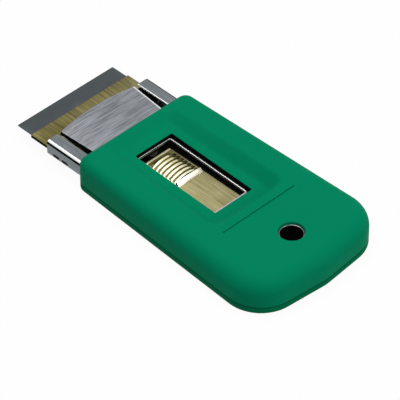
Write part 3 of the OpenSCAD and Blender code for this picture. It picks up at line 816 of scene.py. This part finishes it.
def makeGripTop():
    outline = beltOutline(gripCircles, 0.8, 1.0)
    size = len(outline)
    top = gripHigh.z
    border = [ringPoint(s, s[3]) for s in outline]
    edge = gripForm["windowEdge"]
    hangEdge = gripForm["hangEdge"]
    holes = [windowLoop(0), circleLoop(hangMiddle, 0, gripForm["hangRadius"], 72)]
    soft = gripForm["recessSoft"]
    slope = gripForm["recessSlope"]
    edgeShares = (0.08, 0.3, 0.6, 1.0)
    guides = [(windowLoop(g * edge), True) for g in edgeShares]
    hang = gripForm["hangRadius"]
    guides += [(circleLoop(hangMiddle, 0, hang + g * hangEdge, 72), True) for g in edgeShares]
    for foot in (0, slope):
        guides += [(recessLine(foot + d), False) for d in (-soft, -soft / 3, soft / 3, soft)]
    half = gripForm["grooveLength"] / 2
    for width in (gripForm["grooveTop"], gripForm["grooveFoot"]):
        loop = [(grooveX - width, -half - width), (grooveX + width, -half - width),
                (grooveX + width, half + width), (grooveX - width, half + width)]
        guides.append((fillLoop(loop, 0.6), True))
    flat, tris, runs = tileArea(border, holes, guides, gripForm["tiles"])
    verts = [(x, y, gripSurface(x, y)) for x, y in flat]
    faces = list(tris)
    rings = []
    # side wall from the seam up, then the round edge
    lip = gripForm["seamLip"]
    seam = gripLow.z
    for inset, rise in ((1, 0), (0.6, 0.08), (0.25, 0.35), (0, 1)):
        rings.append(len(verts))
        verts += [(*ringPoint(s, lip * inset), seam + lip * rise) for s in outline]
    steps = 14
    for k in range(steps):
        a = math.pi / 2 * k / steps
        rings.append(len(verts))
        for s in outline:
            x, y = ringPoint(s, s[3] * (1 - math.cos(a)))
            z = top - s[3] * (1 - math.sin(a))
            verts.append((x, y, min(z, gripSurface(x, y))))
    joinRings(rings, faces, size)
    last = rings[-1]
    for i in range(size):
        j = (i + 1) % size
        faces.append((last + i, last + j, runs[0][j], runs[0][i]))
    # underside at the seam
    under = [ringPoint(s, lip) for s in outline]
    flatLow, trisLow, runsLow = tileArea(under, holes, [], 4.0)
    start = len(verts)
    remap = {}
    for i, v in enumerate(runsLow[0]):
        remap[v] = rings[0] + i
    for i, (x, y) in enumerate(flatLow):
        if i not in remap:
            remap[i] = len(verts)
            verts.append((x, y, seam))
    faces += [tuple(remap[i] for i in t[::-1]) for t in trisLow]
    for upper, lower in zip(runs[1:], runsLow[1:]):
        for i, a in enumerate(upper):
            j = (i + 1) % len(upper)
            faces.append((a, upper[j], remap[lower[j]], remap[lower[i]]))
    shell = makeMesh("gripTop", verts, faces)
    dropFlaps(shell)
    # room inside, with the pegs that the screws bite into left standing
    gap = layout["gap"]
    room = box("room", gripLow.x - 1, sideEnd + gap, trayLow.y - gap, trayHigh.y + gap, seam - 1,
               trayHigh.z + gap / 2)
    tailHalf = gripForm["tailRoom"]
    rear = trayHigh.x + gap
    back = acrossTool("back", [(sideEnd, seam - 1), (rear, seam - 1), (rear, coverTop(rear) + gap),
                               (sideEnd, coverTop(sideEnd) + gap)], -tailHalf, tailHalf)
    combine(room, back, "UNION")
    for x, y in screwSpots:
        combine(room, pin("peg", x, y, gripForm["pegRadius"], floorTop, gripForm["pegTop"]), "DIFFERENCE")
        bore = pin("bore", x, y, gripForm["pegBore"], floorTop - 0.5, gripForm["pegBoreTop"], 24)
        combine(room, bore, "UNION")
    combine(shell, room, "DIFFERENCE", 1)
    # painted shade: the window's wall and all that lies inside is painted near-black
    shell.data.materials.append(gripGreen)
    shell.data.materials.append(paintedShade)
    for face in shell.data.polygons:
        c = face.center / mm
        if windowDistance(c.x, c.y) < 0.02 and c.z < recessFloor(c.x) - 0.2 and abs(face.normal.z) < 0.5:
            face.material_index = 1
    marks = [f.material_index for f in shell.data.polygons]
    finishPiece(shell, "handle", [gripGreen, paintedShade], 38, ["grip_top"])
    shell.data.polygons.foreach_set("material_index", marks)
    return shell


def makeGripBase():
    outline = beltOutline(gripCircles, 0.8, 1.2)
    size = len(outline)
    step = gripForm["seamStep"]
    foot = gripForm["footEdge"]
    lip = gripForm["seamLip"]
    seam = baseLow.z + gripLow.z
    low = seam - step
    turns = [math.pi / 2 * (1 - k / 7) for k in range(8)]
    levels = [(foot * (1 - math.cos(a)), foot * (1 - math.sin(a))) for a in turns]
    levels += [(0, low - lip), (lip * 0.12, low - lip * 0.5), (lip * 0.45, low - lip * 0.12), (lip, low),
               (step, low), (step, seam)]
    loops = [[(*ringPoint(s, inset), z) for s in outline] for inset, z in levels]
    base = loft("gripBase", loops)
    # raised bed that the tray lies on
    bedHalf = gripForm["bed"]
    bedLoop = roundBox(gripLow.x + 2.5, trayHigh.x + 0.1 - 1, -bedHalf, bedHalf, 3)
    combine(base, loft("bed", [[(x, y, z) for x, y in bedLoop] for z in (seam - 1, trayLow.z)]), "UNION")
    for x, y in screwSpots:
        combine(base, pin("bore", x, y, gripForm["screwBore"], -1, 5, 32), "DIFFERENCE")
        sink = pin("sink", x, y, gripForm["screwSink"], -1, gripForm["screwSinkDepth"], 48)
        combine(base, sink, "DIFFERENCE")
    combine(base, pin("hang", hangMiddle, 0, gripForm["hangRadius"], -1, 5, 72), "DIFFERENCE")
    flange = pin("flange", hangMiddle, 0, gripForm["flangeRoom"], -1, gripForm["flangeDepth"], 72)
    combine(base, flange, "DIFFERENCE")
    return finishPiece(base, "handle", [baseGreen], 38, ["grip_base"])


eyeletForm = {"radius": 3.85, "wall": 0.4, "flange": 5.2}


def makeEyelet():
    outer = eyeletForm["radius"]
    wall = eyeletForm["wall"]
    flange = eyeletForm["flange"]
    roll = wall / 2
    low, high = eyeletLow.z, eyeletHigh.z
    inner = outer - wall
    profile = [(inner + 0.35, low), (flange - 0.12, low), (flange, low + 0.12), (flange, low + wall - 0.1),
               (flange - 0.1, low + wall), (outer + 0.05, low + wall), (outer, low + wall + 0.05)]
    profile += [(outer - roll + roll * math.cos(a), high - roll + roll * math.sin(a))
                for a in [math.pi * k / 8 for k in range(9)]]
    profile += [(inner, low + 0.35), (inner + 0.05, low + 0.15), (inner + 0.15, low + 0.04)]
    eyelet = turned("hangEyelet", hangMiddle, 0, profile)
    finishPiece(eyelet, "handle", [eyeletNickel, paintedShade], 50, ["hang_eyelet"])
    # painted shade inside the hole, below the rolled rim
    paintFaces(eyelet, 1, lambda c, n: math.hypot(c.x - hangMiddle, c.y) < inner + 0.1 and c.z < high - 0.35)
    return eyelet


gripTop = makeGripTop()
gripBase = makeGripBase()
hangEyelet = makeEyelet()


# --- sheath ---

trayForm = {
    "fold": 1.2, "ledge": 4.5,
    "slotStart": 2.6, "slotLength": 2.8, "slotHeight": 0.9, "slotBridge": 0.9, "slotDrop": 0.25,
    "tailWidth": 38.0, "tailCorner": 8.0, "rubbed": 0.32, "screwHole": 1.15, "hangHole": 4.0,
}
coverForm = {
    "frontWidth": 30.6, "rearWidth": 26.8, "lip": 1.1, "bend": 0.35, "bow": 1.8,
    "windowWidth": 12.8, "windowStep": 0.3, "windowRearStep": 1.5, "tail": 8.0, "taperTo": 5.0,
    "rimWidth": 0.52, "rimHeight": 0.07, "rubbed": 0.8,
    "footLength": 8.0, "footWidth": 4.3,
}
cutStart = windowStart + coverForm["windowStep"]
cutEnd = windowEnd - coverForm["windowRearStep"]
coverEnd = windowEnd + coverForm["tail"]
coverSide = sideEnd + coverForm["taperTo"]
footXs = [windowStart + 12, windowEnd]


def makeTray():
    t = layout["sheet"]
    halfWidth = trayHigh.y - t / 2
    low, high = trayLow.z + t / 2, trayHigh.z - t / 2
    inner = trayHigh.y - trayForm["ledge"]
    path = [(-inner, high), (-halfWidth, high), (-halfWidth, low), (halfWidth, low), (halfWidth, high),
            (inner, high)]
    profile = sheetProfile(path, t, trayForm["fold"] - t / 2, 7)
    tray = alongTool("sheathTray", [(x, profile) for x in (trayLow.x, sideEnd)])
    r = trayForm["tailCorner"]
    half = trayForm["tailWidth"] / 2
    tail = [(sideEnd - 1.2, -half)] + arc(trayHigh.x - r, -half + r, r, -math.pi / 2, 0, 12)
    tail += arc(trayHigh.x - r, half - r, r, 0, math.pi / 2, 12) + [(sideEnd - 1.2, half)]
    combine(tray, loft("tail", [[(x, y, z) for x, y in tail] for z in (trayLow.z, trayLow.z + t)]), "UNION")
    slotHigh = (bladeLow.z + bladeHigh.z) / 2 - trayForm["slotDrop"]
    h = trayForm["slotHeight"] / 2
    for i in range(2):
        x0 = trayLow.x + trayForm["slotStart"] + i * (trayForm["slotLength"] + trayForm["slotBridge"]) + h
        x1 = x0 + trayForm["slotLength"] - 2 * h
        slotLoop = arc(x1, slotHigh, h, -math.pi / 2, math.pi / 2, 8)
        slotLoop += arc(x0, slotHigh, h, math.pi / 2, 1.5 * math.pi, 8)
        combine(tray, acrossTool("slot", slotLoop, trayLow.y - 1, trayHigh.y + 1), "DIFFERENCE")
    for x, y in screwSpots:
        combine(tray, pin("hole", x, y, trayForm["screwHole"], 0, floorTop + 0.1, 32), "DIFFERENCE")
    combine(tray, pin("hole", hangMiddle, 0, trayForm["hangHole"], 0, 5, 64), "DIFFERENCE")
    cutLine(tray, (0, inner + trayForm["rubbed"], 0), (0, 1, 0))
    softenEdges(tray, 0.06)
    finishPiece(tray, "handle", [trayNickel, highlightNickel, paintedShade], 35, ["sheath_tray"])
    foldStart = trayHigh.y - trayForm["fold"]
    foldLow = trayHigh.z - trayForm["fold"]

    # painted highlight on one outer fold, the ledges' cut edges and a strip of ledge beside one of them
    def trayHighlight(c, n):
        if c.x > sideEnd or c.z < foldLow:
            return False
        onFold = c.y < -foldStart and 0.6 < n.z < 0.97
        onCut = abs(c.y) < inner + 0.05 and abs(n.y) > 0.3 and n.z > -0.3
        onRim = 0 < c.y < inner + trayForm["rubbed"] and n.z > 0.9
        return onFold or onCut or onRim

    def shaded(c, n):
        # painted reflection: the folds are painted dark where they would mirror the dark side of the room
        if c.x > sideEnd or c.z < foldLow - 0.1:
            return False
        return (c.y < -foldStart and 0.1 < n.z < 0.6) or (c.y > foldStart and 0.3 < n.z < 0.97)

    paintFaces(tray, 1, trayHighlight)
    paintFaces(tray, 2, shaded)
    return tray


def coverSection(x, foot):
    # (y, z) outline of the cover at one place
    t = layout["sheet"]
    share = min(1.0, max(0.0, (x - trayLow.x) / (coverSide - trayLow.x)))
    half = (coverForm["frontWidth"] + (coverForm["rearWidth"] - coverForm["frontWidth"]) * share) / 2 - t / 2
    high = coverTop(x) - t / 2
    low = foot if foot is not None else coverTop(x) - coverForm["lip"]
    return sheetProfile([(-half, low), (-half, high), (half, high), (half, low)], t, coverForm["bend"], 5)


def makeCover():
    t = layout["sheet"]
    stations = [(x, coverSection(x, None)) for x in (coverLow.x - 1, trayLow.x, coverSide)]
    stations += [(x, coverSection(x, floorTop)) for x in (coverSide + 0.02, coverEnd)]
    cover = alongTool("coverPlate", stations)
    # the front edge bows forward
    bow = coverForm["bow"]
    halfFront = coverForm["frontWidth"] / 2
    front = [(trayLow.x - bow * (1 - (k / 16) ** 2), halfFront * k / 16) for k in range(-16, 17)]
    front += [(coverLow.x - 3, halfFront + 2), (coverLow.x - 3, -halfFront - 2)]
    front.insert(0, (trayLow.x, -halfFront - 2))
    front.insert(-2, (trayLow.x, halfFront + 2))
    combine(cover, loft("front", [[(x, y, z) for x, y in front] for z in (0, 12)]), "DIFFERENCE")
    for x in footXs:
        for side in (-1, 1):
            inner = side * (coverForm["rearWidth"] / 2 - t)
            outer = side * (coverForm["rearWidth"] / 2 + coverForm["footWidth"])
            combine(cover, box("foot", x - coverForm["footLength"] / 2, x + coverForm["footLength"] / 2,
                               min(inner, outer), max(inner, outer), floorTop, floorTop + t), "UNION")
    half = coverForm["windowWidth"] / 2
    loop = roundBox(cutStart, cutEnd, -half, half, 0.4)
    opening = loft("opening", [[(x, y, z) for x, y in loop] for z in (plateTop, 10)])
    combine(cover, opening, "DIFFERENCE")
    # painted highlight: the bend along one side is painted bright, up to a line just inside it
    run = coverSide - trayLow.x
    narrowing = (coverForm["frontWidth"] - coverForm["rearWidth"]) / 2
    away = Vector((narrowing, run, 0)).normalized()
    start = Vector((trayLow.x, halfFront - coverForm["rubbed"], 0))
    cutLine(cover, start, away)
    softenEdges(cover, 0.06)
    finishPiece(cover, "handle", [coverNickel, highlightNickel, paintedShade], 35, ["cover_plate"])

    def rubbed(c, n):
        return c.x < coverSide and n.z > 0.15 and (Vector((c.x, c.y, 0)) - start).dot(away) > 0

    paintFaces(cover, 1, rubbed)
    # painted shade on the outer face of the cover's bent edge on the near side
    paintFaces(cover, 2, lambda c, n: c.x < coverSide and c.y < -coverForm["windowWidth"] and n.y < -0.3)
    return cover


def makeWindowRim():
    # thin sheet on the cover round its window: a painted highlight along the window's cut edge, and painted
    # shade on the margin between it and the grip
    half = coverForm["windowWidth"] / 2
    width = coverForm["rimWidth"]
    margin = 0.35  # how far the piece reaches in under the grip

    def loopAt(grow):
        corner = 0.4 + max(0.0, grow)
        return roundBox(cutStart - grow, cutEnd + grow, -half - grow, half + grow, corner, 5, 0.8)

    def fromCut(x, y):
        dx = abs(x - (cutStart + cutEnd) / 2) - (cutEnd - cutStart) / 2
        dy = abs(y) - half
        return math.hypot(max(dx, 0), max(dy, 0)) if max(dx, dy) > 0 else 0.0

    def top(x, y):
        t = fromCut(x, y) / width
        bead = coverForm["rimHeight"] * math.sqrt(max(0.0, 1 - (2 * t - 1) ** 2)) if t < 1 else 0.0
        return coverTop(x) + 0.02 + bead

    outer = roundBox(windowStart - margin, windowEnd + margin, -layout["windowWidth"] / 2 - margin,
                     layout["windowWidth"] / 2 + margin, 0.8, 5, 0.8)
    guides = [(loopAt(width * g), True) for g in (0.12, 0.35, 0.65, 0.88)]
    rim = slab("windowRim", outer, [loopAt(0)], top, lambda x, y: coverTop(x) - 0.3, 0.7, guides)
    finishPiece(rim, "handle", [paintedShade, rimHighlightNickel], 60)
    # painted highlight along the cut edge; the rest of the sheet stays painted shade
    paintFaces(rim, 1, lambda c, n: fromCut(c.x, c.y) < width * 0.9)
    return rim


sheathTray = makeTray()
coverPlate = makeCover()
windowRim = makeWindowRim()


# --- what slides ---

bladeForm = {"bevel": 1.4, "honed": 0.3, "edge": 0.03, "corner": 0.25, "hole": 1.6, "holeShift": 0.96}
sliderForm = {
    "sheet": 0.45, "lipDrop": 0.3, "plateBend": 0.26, "ridgeBend": 0.23,
    "bodyWidth": 39.2, "tongueWidth": 10.8, "shoulder": 1.5, "taper": 5.0,
    "slotRadius": 1.65, "slotLength": 15.0, "slotWall": 1.4, "shadedBeyond": 14.6, "shadeLength": 3.6,
    "sheathed": 0.9,         # the painted shade starts this far in front of the sheath
}
spineForm = {"sheet": 0.42, "bend": 0.3}
padForm = {
    "height": 1.6, "lip": 0.4, "lipEnd": 0.93, "lipRound": 0.3, "trough": 0.12, "lead": 3.2, "reach": 0.8,
    "ribs": 7, "rib": 0.6, "bead": 0.75, "rearRun": 1.1, "crown": 9.0, "groove": 0.55,
    # painted highlight, then painted glint, on the ribs' crests:
    "rubbedCrest": 0.66, "rubbedFront": 1.0,     # from this share of a rib up, and as far across
    "wornCrest": 0.84, "wornFront": -3.4, "wornRear": 3.6,
    "cellsLong": 200, "cellsWide": 64,
}


def makeBlade():
    middle = (bladeLow.z + bladeHigh.z) / 2
    half = (bladeHigh.z - bladeLow.z) / 2
    r = bladeForm["corner"]
    border = roundBox(bladeLow.x, bladeHigh.x, bladeLow.y, bladeHigh.y, r, 4, 1.2)
    hole = circleLoop(sliderLow.x + bladeForm["holeShift"], 0, bladeForm["hole"], 48)
    bevelX = bladeLow.x + bladeForm["bevel"]
    count = 40
    inset = 0.02
    run = bladeHigh.y - bladeLow.y - 2 * inset
    guide = [(bevelX, bladeLow.y + inset + run * i / count) for i in range(count + 1)]

    def lift(x):
        t = min(1.0, max(0.0, (x - bladeLow.x) / bladeForm["bevel"]))
        return bladeForm["edge"] + (half - bladeForm["edge"]) * t

    blade = slab("bladeSheet", border, [hole], lambda x, y: middle + lift(x), lambda x, y: middle - lift(x),
                 1.5, [(guide, False)])
    ground = bladeLow.x + bladeForm["honed"]
    cutLine(blade, (ground, 0, 0), (1, 0, 0))
    finishPiece(blade, "slider", [bladeSteel, bladeEdge], 3, ["blade"])
    paintFaces(blade, 1, lambda c, n: c.x < ground)
    return blade


def makeSpine():
    t = spineForm["sheet"]
    path = [(spineLow.x, spineLow.z + t / 2), (spineHigh.x - t / 2, spineLow.z + t / 2),
            (spineHigh.x - t / 2, spineHigh.z - t / 2), (spineLow.x, spineHigh.z - t / 2)]
    spine = acrossTool("bladeSpine", sheetProfile(path, t, spineForm["bend"], 5), spineLow.y, spineHigh.y)
    softenEdges(spine, 0.05)
    return finishPiece(spine, "slider", [spineSteel], 35, ["blade_spine"])


def makeSlider():
    t = sliderForm["sheet"]
    body = sliderForm["bodyWidth"] / 2 - 0.03
    top = plateTop - t / 2
    stepX = spineLow.x - 0.05 - t / 2
    endX = bladeHigh.x + 0.05 + t / 2
    ridge = sliderHigh.z - t / 2
    under = spineLow.z - t / 2
    # flat front with lips folded down over the blade's ends
    outer = sliderHigh.y - t / 2
    low = bladeLow.z - sliderForm["lipDrop"]
    path = [(-outer, low), (-outer, top), (outer, top), (outer, low)]
    section = sheetProfile(path, t, sliderForm["plateBend"], 5)
    slider = alongTool("sliderPlate", [(x, section) for x in (sliderLow.x, stepX + t / 2)])
    # ridge that wraps the blade's folded back
    thin = t - 0.02
    path = [(sliderLow.x + 1, top), (stepX, top), (stepX, ridge), (endX, ridge), (endX, under),
            (spineLow.x, under)]
    section = sheetProfile(path, thin, sliderForm["ridgeBend"], 5)
    combine(slider, acrossTool("ridge", section, -body, body), "UNION")
    # tongue that runs back under the cover
    tongue = sliderForm["tongueWidth"] / 2
    shoulder = endX + sliderForm["shoulder"]
    taperEnd = shoulder + sliderForm["taper"]
    tip = 1.0
    border = [(endX, -body), (shoulder, -body), (taperEnd, -tongue), (sliderHigh.x - tip, -tongue),
              (sliderHigh.x, -tongue + tip), (sliderHigh.x, tongue - tip), (sliderHigh.x - tip, tongue),
              (taperEnd, tongue), (shoulder, body), (endX, body)]
    r = sliderForm["slotRadius"]
    s0 = bladeHigh.x + sliderForm["slotWall"] + r
    s1 = s0 + sliderForm["slotLength"]
    hole = arc(s1, 0, r, -math.pi / 2, math.pi / 2, 12) + arc(s0, 0, r, math.pi / 2, 1.5 * math.pi, 12)
    plate = slab("plate", border, [hole], lambda x, y: plateTop, lambda x, y: plateTop - t, 3.0)
    combine(slider, plate, "UNION")
    # painted shade: what lies under the sheath, the lips' outer sides and a band in front of the pad are
    # painted dark
    sheathed = trayLow.x - sliderForm["sheathed"]
    padFront = padLow.x - padForm["reach"]
    cutLine(slider, (sheathed, 0, 0), (1, 0, 0))
    shade = (padFront - sliderForm["shadeLength"], padFront - 0.1)
    for x in shade:
        cutLine(slider, (x, 0, 0), (1, 0, 0))
    for side in (-1, 1):
        cutLine(slider, (0, side * sliderForm["shadedBeyond"], 0), (0, 1, 0))
    softenEdges(slider, 0.05)
    finishPiece(slider, "slider", [sliderBrass, stripBrass, paintedShade], 35, ["blade_slider"])

    def paintedShadeSpot(c, n):
        onLip = c.x < stepX and abs(n.y) > 0.6
        onSide = c.x > sheathed and abs(c.y) > sliderForm["shadedBeyond"]
        return onLip or onSide or shade[0] < c.x < shade[1]

    paintFaces(slider, 1, lambda c, n: c.x < stepX)
    paintFaces(slider, 2, paintedShadeSpot)
    return slider


def padCrown(y):
    return padForm["crown"] - math.sqrt(padForm["crown"] ** 2 - y * y)


def padHeight(x, y):
    # height of the pressed pad above the tongue
    s = x - padLow.x + padForm["reach"]
    length = padHigh.x - padLow.x + padForm["reach"]
    first = padForm["lead"]
    last = length - 2 * padForm["bead"] - padForm["rib"]
    base = padForm["height"] - padForm["rib"] - padCrown(y)
    lipRound = padForm["lipRound"]
    if s < padForm["lipEnd"]:
        return padForm["lip"] - edgeDrop(s, lipRound) - edgeDrop(padForm["lipEnd"] - s, lipRound)
    z = max(padForm["trough"], base)
    if s < first:
        share = max(0.0, (s - padForm["lipEnd"] - 0.4) / (first - padForm["lipEnd"] - 0.4))
        z = padForm["trough"] + (z - padForm["trough"]) * share
    pitch = (last - first) / (padForm["ribs"] - 1)
    if first - padForm["rib"] < s < last + padForm["rib"]:
        k = min(padForm["ribs"] - 1, max(0, round((s - first) / pitch)))
        d = abs(s - first - k * pitch) / padForm["rib"]
        if d < 1:
            z = max(z, base + padForm["rib"] * math.sqrt(1 - d * d))
    beadStart = length - padForm["rearRun"] - padForm["groove"]
    if s > beadStart:
        # a rounded ridge, then the sloping rear face
        rise = padForm["height"] - 0.25 * padCrown(y)
        ahead = (s - beadStart) / padForm["groove"]
        if ahead < 1:
            z = max(z, rise * math.sqrt(max(0.0, 1 - (1 - ahead) ** 2)))
        else:
            z = rise * min(1.0, (length - s) / padForm["rearRun"]) ** 0.85
    return max(0.05, z)


def makePad():
    nx, ny = padForm["cellsLong"], padForm["cellsWide"]
    front = padLow.x - padForm["reach"]
    verts, faces = [], []
    for level in (1, 0):
        for i in range(nx + 1):
            for j in range(ny + 1):
                x = front + (padHigh.x - front) * i / nx
                y = padLow.y + (padHigh.y - padLow.y) * j / ny
                verts.append((x, y, plateTop + (padHeight(x, y) if level else -0.02)))
    row = ny + 1
    half = (nx + 1) * row
    for i in range(nx):
        for j in range(ny):
            a = i * row + j
            faces.append((a, a + row, a + row + 1, a + 1))
            faces.append((a + half, a + half + 1, a + half + row + 1, a + half + row))
    sides = [(i * row + side, row) for i in range(nx) for side in (0, ny)]
    sides += [(j + side, 1) for j in range(ny) for side in (0, nx * row)]
    faces += [(a, a + step, a + step + half, a + half) for a, step in sides]
    pad = makeMesh("thumbPad", verts, faces)
    finishPiece(pad, "slider", [padBrass, padWorn, padLipHighlight, paintedShade], 60, ["thumb_pad"])
    base = padForm["height"] - padForm["rib"]
    rear = padHigh.x - padForm["rearRun"]
    groove = rear - padForm["groove"]

    def rubbed(c, n, crest, spread):
        # painted highlight on the ribs' crests, reaching further across towards the back
        share = (c.x - front) / (rear - front)
        top = c.z - plateTop > base - padCrown(c.y) + padForm["rib"] * crest
        return n.z > 0.1 and c.x < groove and top and c.y < spread + (padForm["wornRear"] - spread) * share

    def bright(c, n):
        onLip = front + 0.1 < c.x < front + padForm["lipEnd"] - 0.1 and n.z > 0.5
        return onLip or rubbed(c, n, padForm["rubbedCrest"], padForm["rubbedFront"])

    # painted glint on the rear face and on the highest crests
    def worn(c, n):
        onRear = c.x > rear and n.z > 0.1
        return onRear or rubbed(c, n, padForm["wornCrest"], padForm["wornFront"])

    paintFaces(pad, 2, bright)
    paintFaces(pad, 1, worn)
    # painted shade in the groove before the rear face
    paintFaces(pad, 3, lambda c, n: groove < c.x < rear)
    return pad


blade = makeBlade()
spine = makeSpine()
slider = makeSlider()
thumbPad = makePad()

for name in ("cover_rivets", "stop_pin", "detent_spring", "spring_rivet", "grip_screws"):
    material = springSteel if name == "detent_spring" else fastenerSteel
    nodes[name].material_slots[0].material = material
    softenEdges(nodes[name], 0.08)
print("dressed the small inner pieces")


# --- floor, light and camera ---

studio = {
    "floorSize": 12000.0, "floorGray": 0.6, "floorPale": 0.95, "floorWhite": 0.95,
    "skyLight": 0.24, "key": 0.6, "keySize": 500.0, "keyFrom": (-0.2, -0.05, 0.97), "keyDistance": 700.0,
    "fill": 0.14, "fillSize": 420.0, "fillFrom": (0.85, 0.25, 0.5), "fillDistance": 800.0,
}
cameraView = {
    "azimuth": 45.624, "elevation": 41.818, "distance": 1040.155,
    "target": (64.191, -5.974, 7.339),  # back from the cutting edge, across, up
    "scale": 3.437,          # picture pixels for one millimetre at the target
    "picture": 400,
}


def directlySeen(tree):
    # 1 where the camera or a mirroring surface looks at it
    ray = addNode(tree, "ShaderNodeLightPath")
    return calc(tree, "MAXIMUM", ray.outputs["Is Camera Ray"], ray.outputs["Is Glossy Ray"])


def makeFloor():
    half = studio["floorSize"] / 2
    floor = box("floor", -half, half, -half, half, -2.0, baseLow.z)
    material, tree, shader = startMaterial("floorPaper")
    shader.inputs["Roughness"].default_value = 0.9
    shader.inputs["Specular IOR Level"].default_value = 0.0
    white = addNode(tree, "ShaderNodeEmission", Color=(1, 1, 1, 1), Strength=1.0)
    # paler where it is seen than where it only throws light back
    seen = directlySeen(tree)
    tone = addNode(tree, "ShaderNodeMapRange", in0=seen, in3=studio["floorGray"], in4=studio["floorPale"])
    setInput(tree, shader.inputs["Base Color"], tone.outputs[0])
    share = calc(tree, "MULTIPLY", seen, studio["floorWhite"])
    mix = addNode(tree, "ShaderNodeMixShader", in0=share, in1=shader.outputs[0], in2=white.outputs[0])
    setInput(tree, tree.nodes["Material Output"].inputs["Surface"], mix.outputs[0])
    floor.data.materials.append(material)


def makeSky():
    world = bpy.data.worlds.new("studioWorld")
    bpy.context.scene.world = world
    world.use_nodes = True
    tree = world.node_tree
    back = tree.nodes["Background"]
    back.inputs["Color"].default_value = (1, 1, 1, 1)
    level = addNode(tree, "ShaderNodeMapRange", in0=directlySeen(tree), in3=studio["skyLight"], in4=1.0)
    setInput(tree, back.inputs["Strength"], level.outputs[0])


def makeLamp(name, direction, distance, size, level):
    # level: how bright a white floor looks under this lamp alone
    lamp = bpy.data.lights.new(name, "AREA")
    lamp.shape = "DISK"
    lamp.size = size * mm
    way = Vector(direction).normalized()
    lamp.energy = level * (math.pi * distance * mm) ** 2 / way.z
    obj = bpy.data.objects.new(name, lamp)
    bpy.context.scene.collection.objects.link(obj)
    obj.location = way * distance * mm
    obj.rotation_mode = "QUATERNION"
    obj.rotation_quaternion = way.to_track_quat("Z", "Y")


def makeCamera():
    camera = bpy.data.cameras.new("photoCamera")
    a, e = math.radians(cameraView["azimuth"]), math.radians(cameraView["elevation"])
    back = Vector((math.sin(a) * math.cos(e), -math.cos(a) * math.cos(e), math.sin(e)))
    camera.lens = cameraView["scale"] * cameraView["distance"] / cameraView["picture"] * camera.sensor_width
    camera.clip_start = 0.01
    camera.clip_end = 20
    obj = bpy.data.objects.new("photoCamera", camera)
    bpy.context.scene.collection.objects.link(obj)
    along, across, up = cameraView["target"]
    target = Vector((bladeLow.x + along, across, up))
    obj.location = (target + back * cameraView["distance"]) * mm
    obj.rotation_mode = "QUATERNION"
    obj.rotation_quaternion = (-back).to_track_quat("-Z", "Y")
    bpy.context.scene.camera = obj


makeFloor()
makeSky()
makeLamp("keyLamp", studio["keyFrom"], studio["keyDistance"], studio["keySize"], studio["key"])
makeLamp("fillLamp", studio["fillFrom"], studio["fillDistance"], studio["fillSize"], studio["fill"])
makeCamera()
bpy.context.scene.view_settings.view_transform = "Standard"
print("made floor, light and camera")
